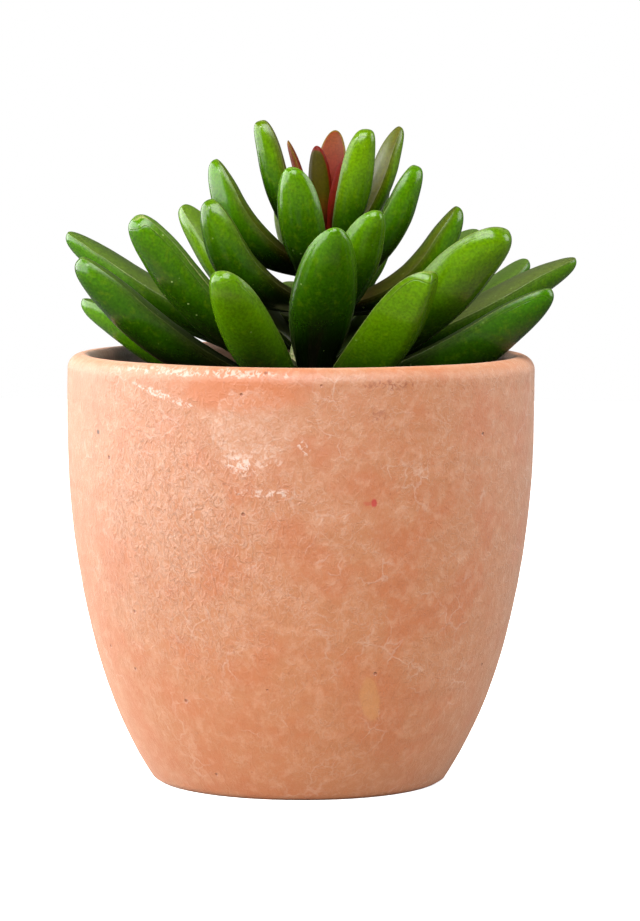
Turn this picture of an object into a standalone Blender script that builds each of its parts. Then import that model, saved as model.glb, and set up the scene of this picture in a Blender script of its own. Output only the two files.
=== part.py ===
"""A small leafy succulent in a round terracotta pot, modelled at real size.

Metres, +Z up. The origin is the centre of the pot's foot. A turn of 0 faces the front (-Y)
and a turn of 90 faces the right (+X).
"""

import math
from collections import namedtuple

import bmesh
import bpy
from mathutils import Vector

MM = 0.001
CLEARANCE = 0.3 * MM  # gap between pieces that touch
MERGE_DISTANCE = 0.01 * MM

# Pot: a thrown bowl-like cylinder, widest at the shoulder, that draws in to a narrow foot
POT_HEIGHT = 82.4 * MM
POT_RADIUS = 45.1 * MM
SHOULDER_HEIGHT = 77 * MM
FOOT_PINCH = 0.612  # share of the radius squared that the wall loses down to the foot
BELLY_POWER = 2.35  # higher keeps the wall upright further down
WALL = 4.8 * MM
FLOOR = 6 * MM
LIP_OUTER_ROUND = 2.8 * MM
LIP_INNER_ROUND = 1.8 * MM
FOOT_CHAMFER = 0.6 * MM
INNER_FOOT_ROUND = 5 * MM
INNER_FOOT_END = -20  # degrees round the inner foot where the wall takes over
OUTER_LEVELS = 13
INNER_LEVELS = 8
LEVEL_CROWDING = 1.4  # above 1, the levels of a wall crowd towards the foot
ROUND_STEPS = 4
POT_STEPS = 72

# Soil
SOIL_TOP = 70 * MM
SOIL_MOUND = 1.2 * MM
MOUND_RINGS = (0.75, 0.5, 0.25, 0)  # shares of the soil's radius
SOIL_STEPS = 48
HOLE_FLOOR = 58 * MM
HOLE_CUT_TOP = 90 * MM

# Stem: leans a little to the right and thins upwards
STEM_FOOT_X = 1 * MM
STEM_LEAN = 0.1  # sideways travel per unit of height, from the soil up
STEM_RADIUS = 4.6 * MM
STEM_TIP_RADIUS = 2.9 * MM
STEM_TAPER_START = 78 * MM
STEM_LEVELS = (87 * MM, 96 * MM)  # where the tapering part is divided
STEM_TIP = 105 * MM
STEM_BEVEL_STEPS = 4
TUBE_SIDES = 24

# Leaf form, shared by all: a flat upper face over a plump keeled underside
SECTION_POINTS = 12
UPPER_SHARE = 0.18  # part of the thickness that lies above the margins
KEEL_POWER = 1.12  # above 1, the underside is more keeled than an oval
WIDEST = 0.55  # share of the length at the widest place
THICKEST = 0.56
ROOT_WIDTH_SHARE = 0.36
ROOT_THICKNESS_SHARE = 0.5
ROOT_DROP = 0.4  # part of the root's half height that it sits below its own level
SWELL_POWER = 1.1  # above 1, the leaf swells late from its root
WIDTH_TIP_POWER = 0.42  # 0.5 would end in a half oval, more is more pointed
THICKNESS_TIP_POWER = 0.44
NOSE_SHARE = 0.22  # part of the thickness that the tip dips below the line of the upper face
NOSE_START = 0.75  # share of the length where the dip begins
RING_PLACES = (0.12, 0.24, 0.37, 0.5, 0.62, 0.73, 0.83, 0.905, 0.96, 0.99)

# One leaf: turns in degrees and sizes in mm. The root is where it leaves the stem. The tip is
# given by its turn and reach about the stem at the root, and by its height above the table.
# Sag is how far the middle hangs below the straight line from root to tip.
Leaf = namedtuple(
    "Leaf", "root_turn root_height tip_turn tip_reach tip_height sag width thickness roll"
)

LEAVES = {
    # Lowest tier, out over the rim
    "leaf_01": Leaf(-36, 74.5, -24.6, 37.5, 100.5, 2, 11.2, 6.5, 0),
    "leaf_02": Leaf(-130, 74, -112, 47, 93.4, 1.3, 11.5, 7.3, 8),
    "leaf_03": Leaf(29.5, 74, 34, 36.4, 100.4, 4, 15.4, 7.2, 0),
    "leaf_04": Leaf(89, 75.1, 73, 46.8, 97, 3, 14.4, 8.4, -10),
    "leaf_05": Leaf(142.8, 75, 118, 47.6, 100.8, 3.2, 11.3, 6, 0),
    "leaf_06": Leaf(-84, 75, -77, 43.6, 101.9, 3.2, 12, 7, 5),
    "leaf_07": Leaf(3, 78, 9.3, 27, 108.4, 0, 12.6, 6.8, 0),
    # Second tier
    "leaf_08": Leaf(109, 80.4, 97, 50.5, 102.3, 1.8, 12, 6.8, 4),
    "leaf_09": Leaf(-108, 81.5, -100, 47.8, 106, 1.6, 11, 6, 0),
    "leaf_10": Leaf(57, 79.3, 58, 40.3, 108.8, 2.2, 14.4, 8.2, -14),
    "leaf_11": Leaf(160, 80.5, 128, 40.5, 106.7, 0, 11.5, 6, 0),
    "leaf_12": Leaf(-50, 80, -52, 39.6, 110.3, 3, 9.6, 7, -3),
    # Third tier
    "leaf_13": Leaf(78, 92.2, 80, 25.2, 111.5, 4.4, 10.8, 6.5, 10),
    "leaf_14": Leaf(-112, 85, -113, 26.7, 111.4, 1, 9.5, 6.3, -5),
    "leaf_15": Leaf(28, 88.5, 28, 22.5, 111.4, 1, 9.6, 5.8, 0),
    "leaf_16": Leaf(-55, 93.4, -54, 23.7, 112.7, 4.6, 10, 7, -6),
    # Fourth tier
    "leaf_17": Leaf(-78, 99.5, -79, 19.4, 120, 3.5, 10.2, 6.3, 0),
    "leaf_18": Leaf(-15, 95.5, -18, 16, 119, 1, 9, 5.5, 0),
    "leaf_19": Leaf(82, 96.5, 84, 16.8, 119.1, 2, 10.1, 5.5, -8),
    # Top tier, round the heart
    "leaf_20": Leaf(40, 101.5, 43, 10.2, 125.8, 1, 7.7, 4.6, 0),
    "leaf_21": Leaf(112, 102, 108, 14.2, 126.5, 1, 7, 4.6, 8),
    "leaf_22": Leaf(-62, 102, -62, 12, 127.4, 1, 6.1, 4.6, -6),
    # Far side, from the lowest up
    "leaf_23": Leaf(-170.6, 75.2, 170, 42, 94, 1, 10.6, 6.3, 0),
    "leaf_24": Leaf(150, 86.5, 160, 33, 107.5, 1, 10.5, 6, 0),
    "leaf_25": Leaf(-160, 82, -172, 33, 96, 1, 9.5, 6, 0),
    "leaf_26": Leaf(-152, 88.5, -148, 33, 99.5, 1, 9, 5.2, 0),
    "leaf_27": Leaf(127.5, 91.8, 141, 20, 110, 2, 8.8, 5.5, 0),
    "leaf_28": Leaf(177, 93.4, 179, 26, 113.4, 1, 9.5, 5.5, 0),
    "leaf_29": Leaf(-150, 96, -159, 18, 116, 1, 8.5, 5, 0),
    "leaf_30": Leaf(136, 97.5, 134, 16, 118, 1, 8, 5, 0),
    "leaf_31": Leaf(180, 102, 180, 12, 119, 1, 7.5, 4.8, 0),
    "leaf_32": Leaf(-120, 102, -126, 6.5, 116, 1, 6, 4, 0),
}

# Young leaves of the heart, in the same terms
YOUNG_LEAVES = {
    "young_front": Leaf(-30, 106, -27, 3.4, 122.5, 0, 4.8, 2.6, 0),
    "young_back": Leaf(170, 107, 163, 5.2, 125.5, 0, 6.2, 3, 0),
    "young_left": Leaf(-100, 106, -98, 7, 123.5, 0, 4, 1.8, 0),
    "young_right": Leaf(50, 106, 55, 4.5, 121, 0, 5, 2.6, 0),
}
HEART_CORE_RADIUS = 2.6 * MM
HEART_CORE_FOOT = 105.8 * MM
HEART_CORE_TOP = 112.8 * MM
HEART_ROOT_RADIUS = 0.8 * MM  # the young leaves' roots lie inside the core


def main():
    clear_scene()
    plant = new_collection("potted_succulent")
    helpers = new_collection("cutters")
    helpers.hide_render = True
    build_pot(plant)
    build_soil(plant, helpers)
    build_stem(plant)
    for name, leaf in LEAVES.items():
        build_leaf(plant, name, leaf)
    build_heart(plant, helpers)


def clear_scene():
    for old in list(bpy.data.objects):
        bpy.data.objects.remove(old, do_unlink=True)


def new_collection(name):
    made = bpy.data.collections.new(name)
    bpy.context.scene.collection.children.link(made)
    return made


def finish(name, colour, roughness):
    """A Principled material with the piece's plain colour, as sRGB hex."""
    material = bpy.data.materials.new(name)
    material.use_nodes = True
    shader = material.node_tree.nodes["Principled BSDF"]
    shader.inputs["Base Color"].default_value = linear(colour)
    shader.inputs["Roughness"].default_value = roughness
    return material


def linear(colour):
    """sRGB hex as the linear colour that Blender takes."""
    shares = [int(colour[at : at + 2], 16) / 255 for at in (1, 3, 5)]
    return [
        share / 12.92 if share <= 0.04045 else ((share + 0.055) / 1.055) ** 2.4
        for share in shares
    ] + [1.0]


def new_object(name, mesh, collection, material):
    piece = bpy.data.objects.new(name, mesh)
    collection.objects.link(piece)
    mesh.materials.append(material)
    for face in mesh.polygons:
        face.use_smooth = True
    return piece


def turned(name, profile, steps, collection, material):
    """A solid of revolution. The profile lists (radius, height) from the axis and back to it."""
    mesh = bpy.data.meshes.new(name)
    points = [(radius, 0, height) for radius, height in profile]
    edges = [(at, at + 1) for at in range(len(points) - 1)]
    mesh.from_pydata(points, edges, [])
    piece = new_object(name, mesh, collection, material)
    screw = piece.modifiers.new("turn", "SCREW")
    screw.steps = steps
    screw.render_steps = steps
    screw.use_merge_vertices = True
    screw.merge_threshold = MERGE_DISTANCE
    screw.use_smooth_shade = True
    return piece


def pot_radius(height):
    """Outer radius of the pot's wall at a height."""
    drop = max(0.0, (SHOULDER_HEIGHT - height) / SHOULDER_HEIGHT)
    return POT_RADIUS * math.sqrt(1 - FOOT_PINCH * drop**BELLY_POWER)


def arc(centre, radius, start, end, steps):
    """Points (radius, height) on a round, with angles in degrees from outwards."""
    angles = [math.radians(start + (end - start) * at / steps) for at in range(steps + 1)]
    return [
        (centre[0] + radius * math.cos(angle), centre[1] + radius * math.sin(angle))
        for angle in angles
    ]


def spread(low, high, count):
    """Heights between two ends, closer together near the low end."""
    shares = [(at / (count - 1)) ** LEVEL_CROWDING for at in range(count)]
    return [low + (high - low) * share for share in shares]


def build_pot(collection):
    """An open pot with a round lip. It stands on its flat closed foot."""
    inner_lip = (POT_RADIUS - WALL + LIP_INNER_ROUND, POT_HEIGHT - LIP_INNER_ROUND)
    outer_lip = (POT_RADIUS - LIP_OUTER_ROUND, POT_HEIGHT - LIP_OUTER_ROUND)
    inner_foot = (pot_radius(FLOOR) - WALL - INNER_FOOT_ROUND, FLOOR + INNER_FOOT_ROUND)
    inner_heights = spread(
        FLOOR + INNER_FOOT_ROUND, inner_lip[1] - LIP_INNER_ROUND, INNER_LEVELS
    )
    inner = [(pot_radius(height) - WALL, height) for height in inner_heights]
    outer_heights = spread(FOOT_CHAMFER, outer_lip[1], OUTER_LEVELS)
    outer = [(pot_radius(height), height) for height in reversed(outer_heights)]
    profile = (
        [(0, FLOOR)]
        + arc(inner_foot, INNER_FOOT_ROUND, -90, INNER_FOOT_END, ROUND_STEPS)
        + inner
        + arc(inner_lip, LIP_INNER_ROUND, 180, 90, ROUND_STEPS)
        + arc(outer_lip, LIP_OUTER_ROUND, 90, 0, ROUND_STEPS)
        + outer[1:]
        + [(pot_radius(0) - FOOT_CHAMFER, 0), (0, 0)]
    )
    return turned("pot", profile, POT_STEPS, collection, finish("terracotta", "#C98F66", 0.9))


def build_soil(collection, helpers):
    """Fills the pot up to the soil's top, with a blind hole for the stem."""
    inset = WALL + CLEARANCE
    foot = (
        pot_radius(FLOOR) - inset - INNER_FOOT_ROUND,
        FLOOR + CLEARANCE + INNER_FOOT_ROUND,
    )
    bottom = arc(foot, INNER_FOOT_ROUND, -90, INNER_FOOT_END, ROUND_STEPS)
    wall_heights = spread(FLOOR + INNER_FOOT_ROUND + 2 * CLEARANCE, SOIL_TOP, INNER_LEVELS)
    wall = [(pot_radius(height) - inset, height) for height in wall_heights]
    radius = wall[-1][0]
    top = [(radius * share, SOIL_TOP + SOIL_MOUND * (1 - share**2)) for share in MOUND_RINGS]
    bottom_up = [(0, FLOOR + CLEARANCE)] + bottom + wall + top
    material = finish("potting_soil", "#3A2A1E", 1.0)
    soil = turned("soil", bottom_up[::-1], SOIL_STEPS, collection, material)
    hole = stem_tube("stem_hole", STEM_RADIUS + CLEARANCE, HOLE_FLOOR, HOLE_CUT_TOP, helpers)
    cut = soil.modifiers.new("stem_hole", "BOOLEAN")
    cut.operation = "DIFFERENCE"
    cut.solver = "EXACT"
    cut.object = hole
    return soil


def stem_axis(height):
    """Centre of the leaning stem at a height."""
    return Vector((STEM_FOOT_X + (height - SOIL_TOP) * STEM_LEAN, 0, height))


def stem_radius(height):
    """Radius of the stem at a height."""
    share = max(0.0, (height - STEM_TAPER_START) / (STEM_TIP - STEM_TAPER_START))
    return STEM_RADIUS + (STEM_TIP_RADIUS - STEM_RADIUS) * share


def stem_tube(name, radius, low, high, collection):
    """A straight cylinder along the stem's axis."""
    foot = stem_axis(low)
    along = stem_axis(high) - foot
    mesh = bpy.data.meshes.new(name)
    shape = bmesh.new()
    bmesh.ops.create_cone(
        shape,
        cap_ends=True,
        segments=TUBE_SIDES,
        radius1=radius,
        radius2=radius,
        depth=along.length,
    )
    shape.to_mesh(mesh)
    shape.free()
    tube = bpy.data.objects.new(name, mesh)
    collection.objects.link(tube)
    tube.rotation_euler = along.to_track_quat("Z", "Y").to_euler()
    tube.location = foot + along / 2
    tube.display_type = "WIRE"
    tube.hide_render = True
    return tube


def build_stem(collection):
    """A round tapering tube from the floor of its hole to just under the heart."""
    curve = bpy.data.curves.new("stem", "CURVE")
    curve.dimensions = "3D"
    curve.bevel_depth = STEM_RADIUS
    curve.bevel_resolution = STEM_BEVEL_STEPS
    curve.use_fill_caps = True
    path = curve.splines.new("POLY")
    heights = [HOLE_FLOOR + CLEARANCE, SOIL_TOP, STEM_TAPER_START, *STEM_LEVELS, STEM_TIP]
    path.points.add(len(heights) - 1)
    for point, height in zip(path.points, heights):
        point.co = (*stem_axis(height), 1)
        point.radius = stem_radius(height) / STEM_RADIUS
    stem = bpy.data.objects.new("stem", curve)
    collection.objects.link(stem)
    curve.materials.append(finish("stem_skin", "#6F7A3A", 0.6))
    return stem


def heading(turn):
    """Level direction for a turn in degrees."""
    return Vector((math.sin(math.radians(turn)), -math.cos(math.radians(turn)), 0))


def swell(place, peak, root_share, tip_power):
    """Share of the full size at a place along the leaf, from the root (0) to the tip (1)."""
    if place < peak:
        grown = math.sin(math.pi / 2 * place / peak) ** SWELL_POWER
        return root_share + (1 - root_share) * grown
    return (1 - ((place - peak) / (1 - peak)) ** 2) ** tip_power


def section_point(angle, width, thickness):
    """(across, up) of the leaf's cross-section at an angle round it."""
    up = math.sin(angle)
    if up >= 0:
        rise = UPPER_SHARE * thickness * up
    else:
        rise = -(1 - UPPER_SHARE) * thickness * (-up) ** KEEL_POWER
    return 0.5 * width * math.cos(angle), rise


def leaf_rings(leaf, carrier_radius):
    """The leaf's rings of points, root first. The root ring lies on the round that carries it."""
    height = leaf.root_height * MM
    axis = stem_axis(height)
    root = axis + carrier_radius * heading(leaf.root_turn)
    tip = axis + leaf.tip_reach * MM * heading(leaf.tip_turn)
    tip.z = leaf.tip_height * MM
    chord = tip - root
    level_side = Vector((-chord.y, chord.x, 0)).normalized()
    chord_up = level_side.cross(chord).normalized()
    if chord_up.z < 0:
        chord_up.negate()
    bend = (root + tip) / 2 - 2 * leaf.sag * MM * chord_up
    angles = [2 * math.pi * at / SECTION_POINTS for at in range(SECTION_POINTS)]
    width = leaf.width * MM
    thickness = leaf.thickness * MM
    rings = [root_ring(leaf, carrier_radius, angles, width, thickness)]
    for place in RING_PLACES:
        along = bezier_slope(root, bend, tip, place).normalized()
        side, up = leaf_frame(along, level_side, leaf.roll)
        nose = max(0.0, (place - NOSE_START) / (1 - NOSE_START))
        centre = bezier(root, bend, tip, place) - NOSE_SHARE * thickness * nose**2 * up
        wide = width * swell(place, WIDEST, ROOT_WIDTH_SHARE, WIDTH_TIP_POWER)
        thick = thickness * swell(place, THICKEST, ROOT_THICKNESS_SHARE, THICKNESS_TIP_POWER)
        ring = []
        for angle in angles:
            across, rise = section_point(angle, wide, thick)
            ring.append(centre + side * across + up * rise)
        rings.append(ring)
    end = tip - NOSE_SHARE * thickness * chord_up
    return rings, root, end


def root_ring(leaf, carrier_radius, angles, width, thickness):
    """The leaf's foot, an oval on the upright round surface that carries it."""
    half_wide = 0.5 * width * ROOT_WIDTH_SHARE
    half_high = 0.5 * thickness * ROOT_THICKNESS_SHARE
    ring = []
    for angle in angles:
        height = leaf.root_height * MM + half_high * (math.sin(angle) - ROOT_DROP)
        turn = leaf.root_turn + math.degrees(half_wide * math.cos(angle) / carrier_radius)
        ring.append(stem_axis(height) + carrier_radius * heading(turn))
    return ring


def leaf_frame(along, level_side, roll):
    """Directions across the leaf and out of its upper face, turned about its length."""
    side = (level_side - along * level_side.dot(along)).normalized()
    up = side.cross(along).normalized()
    if up.z < 0:
        up.negate()
    cosine = math.cos(math.radians(roll))
    sine = math.sin(math.radians(roll))
    return side * cosine + up * sine, up * cosine - side * sine


def bezier(start, bend, end, place):
    """Point on a curve from start to end that is drawn towards the bend."""
    rest = 1 - place
    return rest * rest * start + 2 * rest * place * bend + place * place * end


def bezier_slope(start, bend, end, place):
    """Direction of that curve at a place, not of unit length."""
    return 2 * (1 - place) * (bend - start) + 2 * place * (end - bend)


def leaf_mesh(name, leaf, carrier_radius):
    """Lofts the leaf's rings and closes both ends."""
    rings, root, end = leaf_rings(leaf, carrier_radius)
    shape = bmesh.new()
    loops = [[shape.verts.new(point) for point in ring] for ring in rings]
    for low, high in zip(loops, loops[1:]):
        for at in range(SECTION_POINTS):
            after = (at + 1) % SECTION_POINTS
            shape.faces.new((low[at], low[after], high[after], high[at]))
    foot = shape.verts.new(root)
    tip = shape.verts.new(end)
    for at in range(SECTION_POINTS):
        after = (at + 1) % SECTION_POINTS
        shape.faces.new((foot, loops[0][after], loops[0][at]))
        shape.faces.new((tip, loops[-1][at], loops[-1][after]))
    bmesh.ops.recalc_face_normals(shape, faces=shape.faces)
    mesh = bpy.data.meshes.new(name)
    shape.to_mesh(mesh)
    shape.free()
    return mesh


def build_leaf(collection, name, leaf):
    """A full-grown leaf, seated on the stem."""
    carrier = stem_radius(leaf.root_height * MM) + CLEARANCE
    mesh = leaf_mesh(name, leaf, carrier)
    return new_object(name, mesh, collection, finish(f"{name}_skin", "#4E8A1E", 0.4))


def build_heart(collection, helpers):
    """The young leaves round the growing tip, joined to one small core."""
    core = stem_tube("heart_core", HEART_CORE_RADIUS, HEART_CORE_FOOT, HEART_CORE_TOP, helpers)
    joined = bpy.data.collections.new("heart_leaves")
    helpers.children.link(joined)
    for name, leaf in YOUNG_LEAVES.items():
        young = bpy.data.objects.new(name, leaf_mesh(name, leaf, HEART_ROOT_RADIUS))
        joined.objects.link(young)
    union = core.modifiers.new("young_leaves", "BOOLEAN")
    union.operation = "UNION"
    union.operand_type = "COLLECTION"
    union.collection = joined
    union.solver = "EXACT"
    graph = bpy.context.evaluated_depsgraph_get()
    mesh = bpy.data.meshes.new_from_object(core.evaluated_get(graph))
    mesh.transform(core.matrix_world)
    mesh.name = "heart"
    for helper in [*joined.objects, core]:
        bpy.data.objects.remove(helper, do_unlink=True)
    bpy.data.collections.remove(joined)
    return new_object("heart", mesh, collection, finish("heart_skin", "#A04A3C", 0.45))


main()
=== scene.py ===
"""The looks of a small leafy succulent in a round terracotta pot.

The plant's leaves, stem and young heart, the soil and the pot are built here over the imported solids.
Lengths are in metres, unless a name ends in _MM or a comment says otherwise. The front faces -Y, up is +Z.
A turn is an angle about +Z in degrees: 0 is towards the front, 90 is towards +X.
"""

import math

import bmesh
import bpy
from mathutils import Matrix, Vector, noise


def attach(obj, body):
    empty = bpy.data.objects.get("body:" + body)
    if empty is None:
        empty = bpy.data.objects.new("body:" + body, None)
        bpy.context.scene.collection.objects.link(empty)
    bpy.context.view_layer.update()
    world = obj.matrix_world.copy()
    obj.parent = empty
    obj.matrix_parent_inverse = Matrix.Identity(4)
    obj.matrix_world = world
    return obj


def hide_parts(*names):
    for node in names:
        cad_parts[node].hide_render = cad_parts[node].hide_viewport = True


bl_info = {
    "name": "Potted succulent",
    "version": (1, 0, 0),
    "blender": (4, 5, 0),
    "location": "3D View > Sidebar > Succulent",
    "description": "Builds a leafy succulent in a terracotta pot over its packed solids",
    "category": "Add Mesh",
}

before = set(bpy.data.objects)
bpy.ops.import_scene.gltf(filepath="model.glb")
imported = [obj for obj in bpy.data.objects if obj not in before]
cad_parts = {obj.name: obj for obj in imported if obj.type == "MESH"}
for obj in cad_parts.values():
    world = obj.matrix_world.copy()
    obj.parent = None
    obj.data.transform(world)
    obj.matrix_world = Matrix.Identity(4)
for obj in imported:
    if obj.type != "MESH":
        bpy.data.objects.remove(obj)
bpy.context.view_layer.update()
MM = 0.001

# Pot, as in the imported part
POT_HEIGHT = 82.4 * MM
POT_RADIUS = 45.1 * MM
SHOULDER_HEIGHT = 77 * MM
FOOT_PINCH = 0.612
BELLY_POWER = 2.35
WALL = 4.8 * MM
FLOOR = 6 * MM
LIP_OUTER_ROUND = 2.8 * MM
LIP_INNER_ROUND = 1.8 * MM
FOOT_CHAMFER = 0.6 * MM
INNER_FOOT_ROUND = 5 * MM
INNER_FOOT_END = -20
CLEARANCE = 0.3 * MM
POT_STEPS = 300
OUTER_LEVELS = 120
INNER_LEVELS = 60
ROUND_STEPS = 10

# Soil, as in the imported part
SOIL_TOP = 70 * MM
SOIL_MOUND = 1.2 * MM
SOIL_STEPS = 200
SOIL_RINGS = 70
SOIL_WALL_LEVELS = 12

# Stem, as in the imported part
STEM_FOOT_X = 1 * MM
STEM_LEAN = 0.1
STEM_RADIUS = 4.6 * MM
STEM_TIP_RADIUS = 2.9 * MM
STEM_TAPER_START = 78 * MM
STEM_TIP = 105 * MM
STEM_BURIED = 3 * MM
STEM_STEPS = 64
STEM_LEVELS = 110

# Leaf form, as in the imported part
UPPER_SHARE = 0.18
KEEL_POWER = 1.12
ROOT_WIDTH_SHARE = 0.36
ROOT_THICKNESS_SHARE = 0.5
SWELL_POWER = 1.1
NOSE_START = 0.75
SKEW_START = 0.3
SKEW_FULL = 0.6

# Leaf form that the solids leave out
FLAT_FACE_POWER = 3  # higher keeps the upper face flat nearer to its margins
KEEL_SOFTNESS = 0.1  # share of the half width over which the keel is rounded
BOX_POWER = 4  # higher makes a boxy underside flatter and its sides steeper
GRID_EDGE = 0.5  # the flat grid that becomes a leaf runs from minus this to this
LEAF_RINGS = 84
LEAF_SECTION_POINTS = 72
MARGIN_CROWDING = 0.6  # 0 spreads the points evenly, near 1 crowds them at the margins
ROOT_RUN = 0.04  # share of the rings that runs into the stem
ROOT_RUN_DEPTH = 1.6 * MM
WELD = 0.002 * MM  # points nearer than this are one, which closes the seam and both ends

# Leaves as root turn, root height, tip turn, tip reach, tip height, sag, width, thickness and roll.
# Lengths are in mm and angles in degrees.
LEAVES = {
    "leaf_01": (-36, 74.5, -24.6, 37.5, 100.5, 2, 11.2, 6.5, 0),
    "leaf_02": (-130, 74, -112, 47, 93.4, 1.3, 11.5, 7.3, 8),
    "leaf_03": (29.5, 74, 34, 36.4, 100.4, 4, 15.4, 7.2, 0),
    "leaf_04": (89, 75.1, 73, 46.8, 97, 3, 14.4, 8.4, -10),
    "leaf_05": (142.8, 75, 118, 47.6, 100.8, 3.2, 11.3, 6, 0),
    "leaf_06": (-84, 75, -77, 43.6, 101.9, 3.2, 12, 7, 5),
    "leaf_07": (3, 78, 9.3, 27, 108.4, 0, 12.6, 6.8, 0),
    "leaf_08": (109, 80.4, 97, 50.5, 102.3, 1.8, 12, 6.8, 4),
    "leaf_09": (-108, 81.5, -100, 47.8, 106, 1.6, 11, 6, 0),
    "leaf_10": (57, 79.3, 58, 40.3, 108.8, 2.2, 14.4, 8.2, -14),
    "leaf_11": (160, 80.5, 128, 40.5, 106.7, 0, 11.5, 6, 0),
    "leaf_12": (-50, 80, -52, 39.6, 110.3, 3, 9.6, 7, -3),
    "leaf_13": (78, 92.2, 80, 25.2, 111.5, 4.4, 10.8, 6.5, 10),
    "leaf_14": (-112, 85, -113, 26.7, 111.4, 1, 9.5, 6.3, -5),
    "leaf_15": (28, 88.5, 28, 22.5, 111.4, 1, 9.6, 5.8, 0),
    "leaf_16": (-55, 93.4, -54, 23.7, 112.7, 4.6, 10, 7, -6),
    "leaf_17": (-78, 99.5, -79, 19.4, 120, 3.5, 10.2, 6.3, 0),
    "leaf_18": (-15, 95.5, -18, 16, 119, 1, 9, 5.5, 0),
    "leaf_19": (82, 96.5, 84, 16.8, 119.1, 2, 10.1, 5.5, -8),
    "leaf_20": (40, 101.5, 43, 10.2, 125.8, 1, 7.7, 4.6, 0),
    "leaf_21": (112, 102, 108, 14.2, 126.5, 1, 7, 4.6, 8),
    "leaf_22": (-62, 102, -62, 12, 127.4, 1, 6.1, 4.6, -6),
    "leaf_23": (-170.6, 75.2, 170, 42, 94, 1, 10.6, 6.3, 0),
    "leaf_24": (150, 86.5, 160, 33, 107.5, 1, 10.5, 6, 0),
    "leaf_25": (-160, 82, -172, 33, 96, 1, 9.5, 6, 0),
    "leaf_26": (-152, 88.5, -148, 33, 99.5, 1, 9, 5.2, 0),
    "leaf_27": (127.5, 91.8, 141, 20, 110, 2, 8.8, 5.5, 0),
    "leaf_28": (177, 93.4, 179, 26, 113.4, 1, 9.5, 5.5, 0),
    "leaf_29": (-150, 96, -159, 18, 116, 1, 8.5, 5, 0),
    "leaf_30": (136, 97.5, 134, 16, 118, 1, 8, 5, 0),
    "leaf_31": (180, 102, 180, 12, 119, 1, 7.5, 4.8, 0),
    "leaf_32": (-120, 102, -126, 6.5, 116, 1, 6, 4, 0),
}

# Form of a leaf as widest place, tip power (lower is blunter), crown of the upper face, nose dip, tip skew
PLAIN_SHAPE = (0.55, 0.46, 0.2, 0.25, 0.0)
LEAF_SHAPES = {
    "leaf_01": (0.55, 0.38, 0.25, 0.2, 0.0),
    "leaf_03": (0.54, 0.4, 0.2, 0.2, 0.2),
    "leaf_04": (0.46, 0.44, 0.2, 0.2, 0.0),
    "leaf_05": (0.6, 0.35, 0.2, 0.2, 0.0),
    "leaf_06": (0.6, 0.36, 0.25, 0.2, 0.0),
    "leaf_07": (0.5, 0.56, 0.2, 0.2, 0.0),
    "leaf_09": (0.58, 0.4, 0.25, 0.15, 0.0),
    "leaf_10": (0.66, 0.36, 0.2, 0.25, 0.15),
    "leaf_11": (0.6, 0.4, 0.2, 0.2, 0.0),
    "leaf_12": (0.62, 0.3, 0.3, 0.2, 0.0),
    "leaf_14": (0.55, 0.38, 0.2, 0.2, 0.0),
    "leaf_16": (0.5, 0.4, 0.25, 0.2, 0.0),
    "leaf_17": (0.45, 0.46, 0.25, 0.2, 0.0),
    "leaf_19": (0.5, 0.34, 0.2, 0.2, 0.2),
    "leaf_20": (0.55, 0.3, 0.2, 0.2, 0.2),
    "leaf_22": (0.55, 0.28, 0.25, 0.2, -0.3),
}
YOUNG_SHAPE = (0.5, 0.5, 0.2, 0.2, 0.0)

# Looks of a leaf as keel (below 0 is boxy), tone (-1 blue-green, 1 yellow), blush (red-brown), bloom (grey
# upper face), scars, shade (painted shade up from the foot) and ridge (line between side and underside)
PLAIN_LOOK = (0.1, 0.2, 0.2, 0.5, 0.3, 0.4, 0.2)
LEAF_LOOKS = {
    "leaf_01": (-0.2, 0.15, 0.1, 0.4, 0.5, 0.3, 0.4),
    "leaf_02": (0.1, 0.0, 0.0, 0.5, 0.3, 0.6, 0.1),
    "leaf_03": (0.9, 0.25, 0.05, 0.4, 0.2, 0.35, 0.6),
    "leaf_04": (0.1, -0.6, 0.0, 0.5, 0.2, 1.2, 0.5),
    "leaf_05": (0.1, -0.3, 0.0, 0.7, 0.2, 0.1, 0.1),
    "leaf_06": (-0.2, -0.2, 0.1, 0.4, 0.5, 1.3, 0.2),
    "leaf_07": (-0.1, 0.0, 0.0, 0.3, 0.7, 0.9, 0.3),
    "leaf_08": (0.1, 0.0, 0.0, 1.0, 0.3, 0.6, 0.2),
    "leaf_09": (0.15, -0.3, 0.1, 0.6, 0.2, 0.9, 0.2),
    "leaf_10": (0.0, 0.25, 0.0, 0.6, 0.6, 0.5, 0.3),
    "leaf_11": (0.1, -0.3, 0.0, 0.7, 0.1, 0.2, 0.1),
    "leaf_12": (-0.7, -0.1, 0.0, 0.5, 1.0, 1.0, 1.0),
    "leaf_13": (0.1, 0.0, 0.55, 0.2, 0.2, 0.75, 0.0),
    "leaf_14": (0.1, 0.3, 0.1, 0.3, 0.1, 0.4, 0.1),
    "leaf_15": (0.0, 0.1, 0.0, 0.3, 0.2, 0.6, 0.4),
    "leaf_16": (-0.1, 0.2, 0.2, 0.2, 0.3, 1.1, 0.0),
    "leaf_17": (0.1, 0.0, 0.45, 0.1, 0.2, 0.7, 0.0),
    "leaf_18": (0.0, 0.1, 0.0, 0.3, 0.3, 0.6, 0.2),
    "leaf_19": (0.1, 0.0, 0.0, 0.3, 0.2, 0.6, 0.2),
    "leaf_20": (0.0, 0.35, 0.2, 0.3, 0.2, 0.1, 0.3),
    "leaf_21": (0.1, 0.5, 0.7, 0.5, 0.1, 0.3, 0.0),
    "leaf_22": (-0.1, 0.3, 0.6, 0.3, 0.1, 0.8, 0.4),
}

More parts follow.
